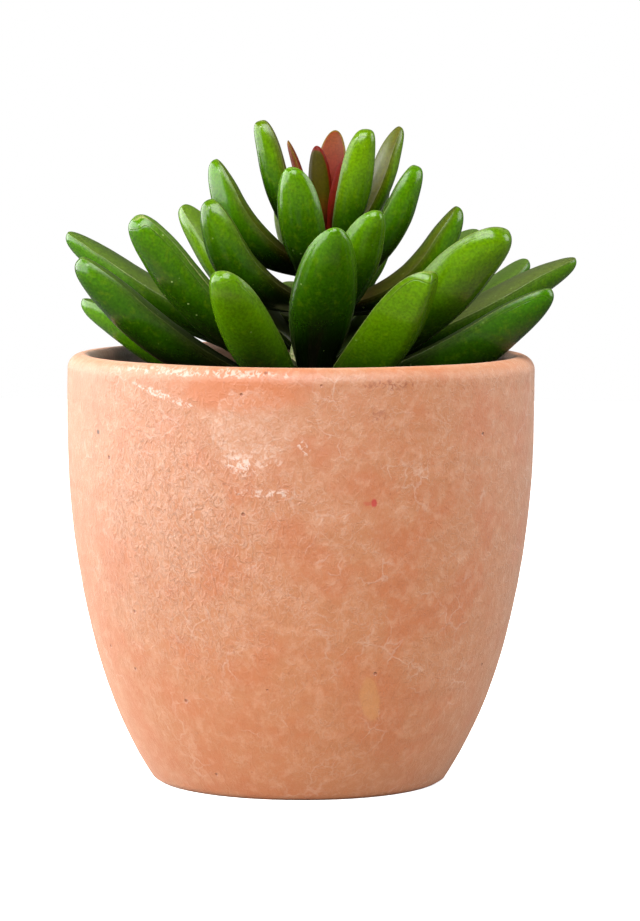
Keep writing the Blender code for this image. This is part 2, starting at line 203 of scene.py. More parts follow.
# Young leaves of the heart in the same terms. In their looks, tone is how olive they are, and blush is how
# red the rim is.
YOUNG_LEAVES = {
    "young_front": (-30, 106, -27, 3.4, 122.5, 0, 4.8, 2.6, 0),
    "young_back": (170, 107, 163, 5.2, 125.5, 0, 6.2, 3, 0),
    "young_left": (-100, 106, -98, 7, 123.5, 0, 4, 1.8, 0),
    "young_right": (50, 106, 55, 4.5, 121, 0, 5, 2.6, 0),
    "young_bud": (0, 103.5, 0, -0.6, 113, 0, 5.4, 5.2, 0),
}
YOUNG_LOOKS = {
    "young_front": (0.0, 1.0, 1.0, 0.0, 0.0, 0.2, 0.0),
    "young_back": (0.0, 0.0, 0.2, 0.0, 0.0, 0.0, 0.0),
    "young_left": (0.0, 0.0, 0.4, 0.0, 0.0, 0.0, 0.0),
    "young_right": (0.0, 0.0, 1.0, 0.0, 0.0, 0.0, 0.0),
    "young_bud": (0.0, 0.5, 0.5, 0.0, 0.0, 0.0, 0.0),
}
HEART_ROOT_RADIUS = 0.8 * MM

# Kinds and settings of nodes
MATH = "ShaderNodeMath"
VECTOR = "ShaderNodeVectorMath"
MIX = "ShaderNodeMix"
RANGE = "ShaderNodeMapRange"
NOISE = "ShaderNodeTexNoise"
CELLS = "ShaderNodeTexVoronoi"
RANDOM = "FunctionNodeRandomValue"
SPLIT = "ShaderNodeSeparateXYZ"
JOIN = "ShaderNodeCombineXYZ"
SOFT = {"interpolation_type": "SMOOTHSTEP"}
ATTRIBUTE = "ShaderNodeAttribute"
COLOUR = {"data_type": "RGBA"}
TINT_OUT = 2  # a Mix node's colour output
ABOUT_Z = {"rotation_type": "Z_AXIS"}
TURN = "ShaderNodeVectorRotate"


def linear(colour):
    """An sRGB hex colour as linear red, green, blue and full alpha."""
    shares = [int(colour[at : at + 2], 16) / 255 for at in (1, 3, 5)]
    rgb = [v / 12.92 if v <= 0.04045 else ((v + 0.055) / 1.055) ** 2.4 for v in shares]
    return (*rgb, 1.0)


def fill(tree, node, inputs):
    """Link each input that is given a socket, and set each that is given a value."""
    for key, value in inputs.items():
        if isinstance(value, bpy.types.NodeSocket):
            tree.links.new(value, node.inputs[key])
        else:
            node.inputs[key].default_value = value


def add(tree, kind, inputs=None, out=0, **settings):
    """Add a node with its settings and its inputs' values or links, and return one of its outputs."""
    node = tree.nodes.new(kind)
    for name, value in settings.items():
        setattr(node, name, value)
    fill(tree, node, inputs or {})
    return node.outputs[out]


def new_object(name, mesh):
    """An object at the origin with that mesh."""
    made = bpy.data.objects.new(name, mesh)
    bpy.context.scene.collection.objects.link(made)
    return made


def set_inputs(modifier, values):
    """Set the named inputs of a Geometry Nodes modifier, each by its identifier."""
    for socket in modifier.node_group.interface.items_tree:
        if socket.in_out == "INPUT" and socket.name in values:
            modifier[socket.identifier] = values[socket.name]


def settled(grower, material):
    """Turn an object's modifiers into its plain mesh, all in that material."""
    bpy.context.view_layer.update()
    graph = bpy.context.evaluated_depsgraph_get()
    mesh = bpy.data.meshes.new_from_object(grower.evaluated_get(graph), depsgraph=graph)
    grower.modifiers.clear()
    grower.data = mesh
    mesh.name = grower.name
    mesh.materials.clear()
    mesh.materials.append(material)
    mesh.polygons.foreach_set("material_index", [0] * len(mesh.polygons))
    return grower


def join_meshes(name, pieces, material):
    """One object in that material from several, which are removed."""
    joined = bmesh.new()
    for piece in pieces:
        joined.from_mesh(piece.data)
    for face in joined.faces:
        face.material_index = 0
    mesh = bpy.data.meshes.new(name)
    joined.to_mesh(mesh)
    joined.free()
    mesh.materials.append(material)
    for piece in pieces:
        bpy.data.objects.remove(piece, do_unlink=True)
    return new_object(name, mesh)


# Sizes and colours that a user would change


def colour_property(name, description, default):
    """A colour setting with its sRGB hex default."""
    return bpy.props.FloatVectorProperty(
        name=name, description=description, subtype="COLOR", size=4, min=0, max=1, default=linear(default)
    )


def length_property(name, description, default):
    """A length setting in metres."""
    return bpy.props.FloatProperty(
        name=name, description=description, subtype="DISTANCE", unit="LENGTH", default=default
    )


def power_property(name, description, default):
    """A lamp's power in watts."""
    return bpy.props.FloatProperty(name=name, description=description, unit="POWER", default=default)


class PotSettings(bpy.types.PropertyGroup):
    """Terracotta pot"""

    clay: colour_property("Clay", "Fired clay between its stains", "#A56A41")
    deep_clay: colour_property("Deep clay", "Damp-looking, more saturated clay", "#A65626")
    pale_clay: colour_property("Pale clay", "Clay bleached by handling and dust", "#B88A6C")
    # Lime also paints the highlight on the crease crests
    lime: colour_property("Lime", "Dried lime scale from hard water", "#CDBDB2")
    # Rust also darkens the bottoms of the pits as painted shade
    rust: colour_property("Rust", "Iron smears under the rim, and the bottoms of pits", "#84401C")
    # Dark clay of the inner wall, laid on almost fully there as painted shade inside the pot
    damp_and_shade: colour_property("Damp clay", "Inner wall above the soil", "#4A2C14")
    unevenness: length_property("Unevenness", "How far the thrown wall strays from round", 0.18 * MM)
    wrinkle_depth: length_property("Wrinkle depth", "Height of the scabby relief on the wall", 0.09 * MM)


class SoilSettings(bpy.types.PropertyGroup):
    """Potting soil"""

    peat: colour_property("Peat", "Dark fine potting mix", "#2A1D13")
    bark: colour_property("Bark", "Lighter crumbs of bark", "#5C4128")
    roughness: length_property("Unevenness", "Height of the soil's bumps", 0.9 * MM)
    crumb: length_property("Crumb", "Largest crumb across", 2.6 * MM)


class StemSettings(bpy.types.PropertyGroup):
    """Fleshy stem"""

    skin: colour_property("Skin", "Young olive skin of the stem", "#7C8748")
    cork: colour_property("Cork", "Dry beige scars where leaves fell", "#A79A74")


class LeafSettings(bpy.types.PropertyGroup):
    """Fleshy leaves"""

    # The base green is nearly black: deep pigment with painted shade where the leaf meets the stem
    base: colour_property("Base green", "Leaf near the stem", "#041000")
    middle: colour_property("Middle green", "Leaf at its middle", "#244A00")
    tip: colour_property("Tip green", "Leaf near its tip", "#467400")
    yellow: colour_property("Yellow-green", "Tint of the young, sunlit leaves", "#748A00")
    cool: colour_property("Blue-green", "Tint of the old, shaded leaves", "#185C00")
    blush: colour_property("Blush", "Red-brown pigment of faces in the sun", "#423000")
    bloom: colour_property("Bloom", "Grey-olive upper face", "#4C5426")
    margin: colour_property("Margin", "Thin dry line along the leaf's edge", "#8E8E58")
    warp: length_property("Warp", "How far a leaf's skin strays from its smooth form", 0.25 * MM)


class HeartSettings(bpy.types.PropertyGroup):
    """Young leaves of the heart"""

    root: colour_property("Root red", "Young leaf at its root", "#3A0E04")
    red: colour_property("Red", "Young leaf at its middle", "#641A08")
    tip: colour_property("Tip pink", "Young leaf near its tip", "#642E12")
    olive: colour_property("Olive", "Leaf that has begun to turn green", "#383200")
    rim: colour_property("Rim", "Dark red rim", "#5E1208")
    warp: length_property("Warp", "How far a young leaf's skin strays from its smooth form", 0.08 * MM)


class StageSettings(bpy.types.PropertyGroup):
    """Floor, light and camera"""

    floor: colour_property("Floor", "Plain pale floor", "#F4F4F2")
    bounce: colour_property("Bounce", "Light that the floor throws back up", "#4C4A48")
    near_bounce: colour_property("Near bounce", "The same close to the pot, and warmer", "#A68C74")
    key_power: power_property("Key", "Power of the wide low panel at the left", 3.8)
    window_power: power_property("Window", "Power of the small panel high at the front left", 5)
    fill_power: power_property("Fill", "Power of the large soft panel high at the front", 80)
    edge_power: power_property("Edge", "Power of the soft panel at the right", 5)


# Shapes that the pot, soil and stem share


def pot_radius(height):
    """Outer radius of the pot's wall at a height."""
    drop = max(0.0, (SHOULDER_HEIGHT - height) / SHOULDER_HEIGHT)
    return POT_RADIUS * math.sqrt(1 - FOOT_PINCH * drop**BELLY_POWER)


def arc(centre, radius, start, end, steps):
    """Points (radius, height) on a round, with angles in degrees from outwards."""
    angles = [math.radians(start + (end - start) * at / steps) for at in range(steps + 1)]
    return [(centre[0] + radius * math.cos(a), centre[1] + radius * math.sin(a)) for a in angles]


def even(low, high, count):
    """Evenly spaced values from low to high."""
    return [low + (high - low) * at / (count - 1) for at in range(count)]


def turned_mesh(name, profile, steps, place):
    """A closed turned shape. Its profile runs from axis to axis, and place() sets each of its points."""
    shape = bmesh.new()
    rings = []
    for radius, height in profile:
        count = steps if radius > 0 else 1
        turns = [360 * at / steps for at in range(count)]
        rings.append([shape.verts.new(place(radius, height, turn)) for turn in turns])
    for low, high in zip(rings, rings[1:]):
        for at in range(steps):
            after = (at + 1) % steps
            lower = [low[at % len(low)], low[after % len(low)]]
            upper = [high[after % len(high)], high[at % len(high)]]
            shape.faces.new(list(dict.fromkeys(lower + upper)))
    bmesh.ops.recalc_face_normals(shape, faces=shape.faces)
    for face in shape.faces:
        face.smooth = True
    mesh = bpy.data.meshes.new(name)
    shape.to_mesh(mesh)
    shape.free()
    return mesh


def heading(turn):
    """Level direction for a turn in degrees."""
    return Vector((math.sin(math.radians(turn)), -math.cos(math.radians(turn)), 0))


# Patterns and surfaces that the materials share


def new_material(name):
    """A new material with that name, its node tree and its shader."""
    material = bpy.data.materials.new(name)
    material.use_nodes = True
    return material, material.node_tree, material.node_tree.nodes["Principled BSDF"]


def places_mm(tree):
    """Object coordinates in mm."""
    spot = add(tree, "ShaderNodeTexCoord", out="Object")
    return add(tree, VECTOR, {0: spot, "Scale": 1 / MM}, operation="SCALE")


def times(tree, *shares):
    """Product of several shares."""
    product = shares[0]
    for share in shares[1:]:
        product = add(tree, MATH, {0: product, 1: share}, operation="MULTIPLY")
    return product


def line_at(tree, pattern, middle, width, core=0.0):
    """Thin lines where a pattern is near one value. The core is the share of their width that is full."""
    off = add(tree, MATH, {0: pattern, 1: middle}, operation="SUBTRACT")
    away = add(tree, MATH, {0: off}, operation="ABSOLUTE")
    return add(tree, RANGE, {0: away, 1: width, 2: core * width}, **SOFT)


def dots(tree, spot_mm, spacing, size, share):
    """Small round dots, such as pits and specks. Only a share of the cells has one."""
    cells = add(tree, CELLS, {"Vector": spot_mm, "Scale": 1 / spacing})
    chance = add(tree, SPLIT, {0: cells.node.outputs["Color"]})
    chosen = add(tree, MATH, {0: chance, 1: 1 - share}, operation="GREATER_THAN")
    dot = add(tree, RANGE, {0: cells, 1: size / spacing, 2: 0.5 * size / spacing}, **SOFT)
    return times(tree, chosen, dot)


def painted(tree, base, coats):
    """Lay coats over a base colour. Each is where it lies, how well it covers there, and its colour."""
    colour = base
    for where, cover, coat in coats:
        colour = add(tree, MIX, {0: times(tree, where, cover), 6: colour, 7: coat}, TINT_OUT, **COLOUR)
    return colour


def shaded(tree, colour, grain, darkest, brightest):
    """A colour that a fine grain darkens and brightens."""
    shades = add(tree, RANGE, {0: grain, 1: 0.3, 2: 0.7, 3: darkest, 4: brightest})
    return add(tree, MIX, {0: 1.0, 6: colour, 7: shades}, TINT_OUT, blend_type="MULTIPLY", **COLOUR)


def finish_surface(tree, shader, colour, relief, **inputs):
    """Give the shader its colour, relief and other inputs. Relief is patterns with heights in mm."""
    total = 0.0
    for pattern, height in relief:
        total = add(tree, MATH, {0: pattern, 1: height, 2: total}, operation="MULTIPLY_ADD")
    bump = add(tree, "ShaderNodeBump", {"Strength": 1.0, "Distance": MM, "Height": total})
    named = {name.replace("_", " "): value for name, value in inputs.items()}
    fill(tree, shader, {"Base Color": colour, "Normal": bump, **named})


# Terracotta pot


def pot_profile():
    """(radius, height) from the middle of the inner floor, over the lip, to the middle of the foot."""
    inner_lip = (POT_RADIUS - WALL + LIP_INNER_ROUND, POT_HEIGHT - LIP_INNER_ROUND)
    outer_lip = (POT_RADIUS - LIP_OUTER_ROUND, POT_HEIGHT - LIP_OUTER_ROUND)
    inner_foot = (pot_radius(FLOOR) - WALL - INNER_FOOT_ROUND, FLOOR + INNER_FOOT_ROUND)
    inner_heights = even(FLOOR + INNER_FOOT_ROUND, inner_lip[1] - LIP_INNER_ROUND, INNER_LEVELS)
    outer_heights = even(outer_lip[1], FOOT_CHAMFER, OUTER_LEVELS)
    return (
        [(0, FLOOR)]
        + arc(inner_foot, INNER_FOOT_ROUND, -90, INNER_FOOT_END, ROUND_STEPS)
        + [(pot_radius(height) - WALL, height) for height in inner_heights]
        + arc(inner_lip, LIP_INNER_ROUND, 180, 90, ROUND_STEPS)
        + arc(outer_lip, LIP_OUTER_ROUND, 90, 0, ROUND_STEPS)
        + [(pot_radius(height), height) for height in outer_heights[1:]]
        + [(pot_radius(0) - FOOT_CHAMFER, 0), (0, 0)]
    )


WOBBLE_LENGTH = 22 * MM  # distance over which the thrown wall strays
RING_LENGTH = 3.2 * MM  # distance between the thrower's finger marks
RING_SHARE = 0.3  # height of the finger marks against the wall's unevenness
RING_DRIFT_TURN = 180  # turn over which a finger mark changes
RING_PICK = 3.7  # picks one set of finger marks
LIP_WAVE_SHARE = 0.5  # how much of the wall's unevenness also lifts the lip


def pot_point(unevenness):
    """A function that places the pot's points a little off the true round, as the wheel left them."""

    def place(radius, height, turn):
        spot = radius * heading(turn) + Vector((0, 0, height))
        wobble = noise.noise(spot / WOBBLE_LENGTH)
        marks = noise.noise(Vector((turn / RING_DRIFT_TURN, RING_PICK, height / RING_LENGTH)))
        off = unevenness * (wobble + RING_SHARE * marks)
        if height <= FOOT_CHAMFER:
            return spot
        return spot + off * heading(turn) + Vector((0, 0, LIP_WAVE_SHARE * off))

    return place


# Ragged ovals on the wall as turn, height, size across and up, tilt, how far the edge strays as a share of
# the oval, the length over which it strays, and how soft it is. Lengths are in mm, angles in degrees.
LIME_SCALE = (-11, 71.3, (16, 15), -20, 0.35, 3, 0.05)
WRINKLED_FIELD = (-32, 52, (38, 44), 0, 0.7, 7, 0.8)

# Stains as their oval, whether they are crumbly, how well they cover the clay, and their colour. The warm
# ones lie under the lime scale.
WARM_STAINS = {
    "warm clay round the lime": ((-15, 78, (24, 7), 0, 0.4, 3, 0.4), False, 0.8, "warm"),
}
STAINS = {
    "lime below the scale": ((-13.5, 64.3, (5.5, 3.6), 10, 0.7, 1.4, 0.2), True, 0.4, "lime"),
    "lime on the lip": ((-25, 81.3, (36, 1.5), 0, 0.9, 1.5, 0.3), True, 0.5, "lime"),
    "slanting lime at the left": ((-34, 76.8, (13, 1.3), 16, 1.2, 1.2, 0.3), True, 0.6, "lime"),
    "short lime at the middle": ((1, 68, (1.4, 3.2), -30, 0.8, 1, 0.4), True, 0.6, "lime"),
    "level lime at the middle": ((-7.5, 59.5, (11, 1.3), 0, 1, 1.2, 0.4), True, 0.5, "lime"),
    "rust under the lip": ((21.5, 79.2, (9.5, 1.8), 0, 0.9, 0.7, 0.4), True, 0.7, "rust"),
    "rust below it": ((18.5, 73.8, (3.6, 2.2), 0, 0.9, 0.6, 0.4), True, 0.5, "rust"),
    "ochre fleck near the foot": ((20.6, 20.3, (4.2, 9), -18, 0.35, 3, 0.2), False, 0.6, "ochre"),
    "red dot": ((17.9, 57.7, (1.1, 1.4), 0, 0.3, 0.8, 0.3), False, 0.9, "red"),
    "smear of the red dot": ((16.4, 57.6, (1.6, 0.8), 0, 0.9, 0.6, 0.3), False, 0.5, "brick"),
    "dark dot at the left": ((-57, 69, (0.9, 0.9), 0, 0.3, 0.8, 0.3), False, 0.8, "dark"),
}
STAIN_COLOURS = {
    "warm": "#AC5A1C",
    "ochre": "#B07C46",
    "red": "#A31C14",
    "brick": "#A3381E",
    "dark": "#3C2418",
}

# Where the lime scale fades to the right, and where its whiter lower edge starts and is full, in mm
SCALE_FADES = (-16, -2)
SCALE_WHITENS = (70, 64)

# Blots of the clay's patterns in mm
CLAY_CLOUD = 11
CLAY_MOTTLE = 2.4
CLAY_THREADS = 2.8
CLAY_SPECKS = 0.5
CLAY_GRIT = 0.4
CLAY_SWELLS = 5
CREASE = 1.2
CREASE_TILT = -9  # degrees
CREASE_STRETCH = (1.0, 0.65, 1.0)  # below 1 draws the creases out along the height
LIME_CRUMB = 0.9
VEIN_RING = 4.5
VEIN_STRAY = 3.2
VEIN_STRAYS_PER_MM = 0.35
VEIN_PLACES_PER_MM = 0.12
PITS = (5.0, 0.45, 0.22)  # spacing, size, share of the cells that has one
GRAINS = (1.7, 0.3, 0.2)

# Heights of the clay's relief in mm, and of its wrinkles as a share of the wrinkle depth
GRIT_HEIGHT = 0.035
SWELL_HEIGHT = 0.2
VEIN_HEIGHT = 0.02
FILM_HEIGHT = 0.02
PIT_DEPTH = 0.22
CREASE_SHARE = 3.0
SCAB_SHARE = 0.8
LEAST_WRINKLED = 0.22  # share of the wrinkles' height away from the wrinkled field

# Inner wall, painted dark as shade: the radius inside which and the height over which it starts and is
# full, in mm
INSIDE_RADIUS = (42, 41)
INSIDE_HEIGHT = (50, 56)


def patch(tree, wall, turn, height, size, tilt, ragged, ragged_length, soft):
    """1 inside a ragged oval on the wall, and 0 outside."""
    centre = (math.radians(turn) * POT_RADIUS / MM, height, 0)
    moved = add(tree, VECTOR, {0: wall, 1: centre}, operation="SUBTRACT")
    level = add(tree, TURN, {0: moved, "Angle": math.radians(tilt)}, **ABOUT_Z)
    shares = add(tree, VECTOR, {0: level, 1: (size[0] / 2, size[1] / 2, 1)}, operation="DIVIDE")
    reach = add(tree, VECTOR, {0: shares}, out="Value", operation="LENGTH")
    edge = add(tree, NOISE, {"Vector": wall, "Scale": 1 / ragged_length, "Detail": 3})
    strayed = add(tree, MATH, {0: edge, 1: 2 * ragged, 2: reach}, operation="MULTIPLY_ADD")
    return add(tree, RANGE, {0: strayed, 1: 1 + soft + ragged, 2: 1 - soft + ragged}, **SOFT)


def on_wall(tree, spot_mm):
    """Places on the pot's wall in mm: how far round from the front, and the height."""
    x, y, z = add(tree, SPLIT, {0: spot_mm}).node.outputs
    front = add(tree, MATH, {0: y, 1: -1}, operation="MULTIPLY")
    turn = add(tree, MATH, {0: x, 1: front}, operation="ARCTAN2")
    along = add(tree, MATH, {0: turn, 1: POT_RADIUS / MM}, operation="MULTIPLY")
    return add(tree, JOIN, {0: along, 1: z})


def lime_veins(tree, spot_mm):
    """Thin meandering lines of lime that close into rings 4 to 8 mm across, in a few places."""
    stray = add(tree, NOISE, {"Vector": spot_mm, "Scale": VEIN_STRAYS_PER_MM, "Detail": 3}, out="Color")
    bent = add(tree, VECTOR, {0: stray, 1: [VEIN_STRAY] * 3, 2: spot_mm}, operation="MULTIPLY_ADD")
    walls = add(tree, CELLS, {"Vector": bent, "Scale": 1 / VEIN_RING}, feature="DISTANCE_TO_EDGE")
    line = add(tree, RANGE, {0: walls, 1: 0.05, 2: 0.01}, **SOFT)
    breaks = add(tree, NOISE, {"Vector": spot_mm, "Scale": VEIN_PLACES_PER_MM, "Detail": 4})
    return times(tree, line, add(tree, RANGE, {0: breaks, 1: 0.52, 2: 0.66}, **SOFT))


def stain_coats(tree, wall, crumbly, colours, stains):
    """Coats of paint for a table of stains."""
    coats = []
    for oval, broken, cover, colour in stains.values():
        where = patch(tree, wall, *oval)
        if broken:
            where = times(tree, where, crumbly)
        coats.append((where, cover, colours[colour]))
    return coats


def wall_stains(tree, wall, pot):
    """Coats of paint for the stains and the lime scale, which lie at their own places on the wall."""
    crumbs = add(tree, NOISE, {"Vector": wall, "Scale": 1 / LIME_CRUMB, "Detail": 3, "Distortion": 1.0})
    crumbly = add(tree, RANGE, {0: crumbs, 1: 0.46, 2: 0.6}, **SOFT)
    along, height = add(tree, SPLIT, {0: wall}).node.outputs[:2]
    body = patch(tree, wall, *LIME_SCALE)
    fading = add(tree, RANGE, {0: along, 1: SCALE_FADES[0], 2: SCALE_FADES[1], 3: 1.0, 4: 0.25})
    whitest = add(tree, RANGE, {0: height, 1: SCALE_WHITENS[0], 2: SCALE_WHITENS[1]}, **SOFT)
    faded = times(tree, body, fading)
    scale = [
        (faded, 0.35, pot.pale_clay),
        (times(tree, faded, crumbly), 0.2, pot.lime),
        (times(tree, body, whitest, crumbly), 0.3, pot.lime),
    ]
    colours = {name: linear(colour) for name, colour in STAIN_COLOURS.items()}
    colours.update(lime=pot.lime, rust=pot.rust)
    warm = stain_coats(tree, wall, crumbly, colours, WARM_STAINS)
    return warm + scale + stain_coats(tree, wall, crumbly, colours, STAINS)


def wrinkles(tree, wall):
    """The slanting creases in the clay's skin, and the field at the left where they are deepest."""
    slanted = add(tree, TURN, {0: wall, "Angle": math.radians(CREASE_TILT)}, **ABOUT_Z)
    drawn_out = add(tree, VECTOR, {0: slanted, 1: CREASE_STRETCH}, operation="MULTIPLY")
    folded = {"Vector": drawn_out, "Scale": 1 / CREASE, "Detail": 4, "Roughness": 0.62, "Distortion": 1.2}
    return add(tree, NOISE, folded), patch(tree, wall, *WRINKLED_FIELD)


def wall_relief(tree, spot_mm, creases, field, wrinkle_depth):
    """The wall's grit, its swells, its creases and the scabs between them, each with its height in mm."""
    grit = add(tree, NOISE, {"Vector": spot_mm, "Scale": 1 / CLAY_GRIT, "Detail": 2})
    swells = add(tree, NOISE, {"Vector": spot_mm, "Scale": 1 / CLAY_SWELLS, "Detail": 3})
    depth = add(tree, RANGE, {0: field, 3: LEAST_WRINKLED, 4: 1.0})
    scabs = add(tree, RANGE, {0: creases, 1: 0.53, 2: 0.59}, **SOFT)
    return [
        (grit, GRIT_HEIGHT),
        (swells, SWELL_HEIGHT),
        (times(tree, creases, depth), CREASE_SHARE * wrinkle_depth / MM),
        (times(tree, scabs, depth), SCAB_SHARE * wrinkle_depth / MM),
    ]


def inside_shade(tree, spot_mm, wall):
    """1 on the dusty inner wall above the soil, which is painted dark as shade, and 0 on the rest of the
    pot.
    """
    level = add(tree, VECTOR, {0: spot_mm, 1: (1, 1, 0)}, operation="MULTIPLY")
    radius = add(tree, VECTOR, {0: level}, out="Value", operation="LENGTH")
    height = add(tree, SPLIT, {0: wall}, out=1)
    within = add(tree, RANGE, {0: radius, 1: INSIDE_RADIUS[0], 2: INSIDE_RADIUS[1]}, **SOFT)
    above = add(tree, RANGE, {0: height, 1: INSIDE_HEIGHT[0], 2: INSIDE_HEIGHT[1]}, **SOFT)
    return times(tree, within, above)


def terracotta_unglazed(pot):
    """Unglazed terracotta, thrown and fired: chalky, matte, pitted, with lime scale and rust smears.

    The clay scatters light almost evenly, and its dry dust brightens it towards the edges.
    """
    material, tree, shader = new_material("terracotta_unglazed")
    spot_mm = places_mm(tree)
    wall = on_wall(tree, spot_mm)

    cloud = add(tree, NOISE, {"Vector": spot_mm, "Scale": 1 / CLAY_CLOUD, "Detail": 4, "Roughness": 0.6})
    mottle = add(tree, NOISE, {"Vector": spot_mm, "Scale": 1 / CLAY_MOTTLE, "Detail": 5, "Roughness": 0.65})
    winding = {"Vector": spot_mm, "Scale": 1 / CLAY_THREADS, "Detail": 3, "Distortion": 1.2}
    threads = add(tree, NOISE, winding)
    specks = add(tree, NOISE, {"Vector": spot_mm, "Scale": 1 / CLAY_SPECKS, "Detail": 1})
    dusty = add(tree, RANGE, {0: mottle, 1: 0.44, 2: 0.7}, **SOFT)
    deep = add(tree, RANGE, {0: cloud, 1: 0.58, 2: 0.34}, **SOFT)
    cloudy = add(tree, RANGE, {0: cloud, 1: 0.4, 2: 0.6}, **SOFT)
    film = times(tree, line_at(tree, threads, 0.5, 0.045), cloudy)
    speckle = add(tree, RANGE, {0: specks, 1: 0.54, 2: 0.7}, **SOFT)
    veins = lime_veins(tree, spot_mm)
    creases, field = wrinkles(tree, wall)
    # Painted highlight: pale lines on the crease crests, strongest in the wrinkled field at the left
    highlight_field = add(tree, RANGE, {0: field, 3: 0.15, 4: 1.0})
    crest_highlights = times(tree, line_at(tree, creases, 0.5, 0.03), highlight_field)
    pits = dots(tree, spot_mm, *PITS)

    clay = [
        (deep, 0.5, pot.deep_clay),
        (dusty, 0.45, pot.pale_clay),
        (film, 0.1, pot.lime),
        # The crest lines in the lime colour are a painted highlight
        (crest_highlights, 0.28, pot.lime),
        (veins, 0.18, pot.lime),
        (speckle, 0.22, pot.deep_clay),
    ]
    # Dark specks, and painted shade in the pits and on the inner wall
    specks_and_hollow_shade = [
        (dots(tree, spot_mm, *GRAINS), 0.35, pot.rust),
        # Pits darkened with the rust colour: painted shade in the hollows
        (pits, 0.8, pot.rust),
        # Painted shade inside the pot: the inner wall above the soil in dark clay colour
        (inside_shade(tree, spot_mm, wall), 0.9, pot.damp_and_shade),
    ]
    details = [(veins, VEIN_HEIGHT), (film, FILM_HEIGHT), (pits, -PIT_DEPTH)]
    finish_surface(
        tree,
        shader,
        painted(tree, pot.clay, clay + wall_stains(tree, wall, pot) + specks_and_hollow_shade),
        wall_relief(tree, spot_mm, creases, field, pot.wrinkle_depth) + details,
        Roughness=add(tree, RANGE, {0: mottle, 3: 0.5, 4: 0.66}),
        Specular_IOR_Level=0.9,
        Diffuse_Roughness=0.8,
        Sheen_Weight=0.25,
        Sheen_Roughness=0.5,
        Sheen_Tint=linear("#FFF0E6"),
    )
    return material


class SUCCULENT_OT_pot(bpy.types.Operator):
    """Turn the terracotta pot"""

    bl_idname = "succulent.pot"
    bl_label = "Terracotta pot"

    def execute(self, context):
        pot = context.scene.succulent_pot
        mesh = turned_mesh("terracotta_pot", pot_profile(), POT_STEPS, pot_point(pot.unevenness))
        mesh.materials.append(terracotta_unglazed(pot))
        piece = new_object("terracotta_pot", mesh)
        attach(piece, "root")
        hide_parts("pot")
        return {"FINISHED"}


# Potting soil

SOIL_BUMP_LENGTH = 5 * MM
SOIL_GRAIN_LENGTH = 1.6 * MM
SOIL_GRAIN_SHARE = 0.4
CRUMBS_PER_SQUARE_MM = 0.3
SMALLEST_CRUMB_SHARE = 0.3
CRUMB_FLATTENING = 0.8
CRUMB_RARITY = 3.0  # higher leaves fewer large crumbs
UPWARD = 0.5  # a face whose normal rises more than this carries crumbs
CRUMB_SEED = 4


def soil_point(roughness):
    """A function that heaps the soil's top unevenly."""

    def place(radius, height, turn):
        spot = radius * heading(turn) + Vector((0, 0, height))
        if height < SOIL_TOP:
            return spot
        bumps = noise.noise(spot / SOIL_BUMP_LENGTH)
        grains = noise.noise(spot / SOIL_GRAIN_LENGTH)
        return spot + Vector((0, 0, roughness * (bumps + SOIL_GRAIN_SHARE * grains)))

    return place


def soil_profile():
    """(radius, height) from the middle of the soil's foot, up the wall, to the middle of its top."""
    inset = WALL + CLEARANCE
    foot = (pot_radius(FLOOR) - inset - INNER_FOOT_ROUND, FLOOR + CLEARANCE + INNER_FOOT_ROUND)
    wall_heights = even(foot[1] + CLEARANCE, SOIL_TOP - MM, SOIL_WALL_LEVELS)
    edge = pot_radius(SOIL_TOP) - inset
    top = [(edge * s, SOIL_TOP + SOIL_MOUND * (1 - s**2)) for s in even(1, 0, SOIL_RINGS)]
    return (
        [(0, FLOOR + CLEARANCE)]
        + arc(foot, INNER_FOOT_ROUND, -90, INNER_FOOT_END, ROUND_STEPS)
        + [(pot_radius(height) - inset, height) for height in wall_heights]
        + top
    )


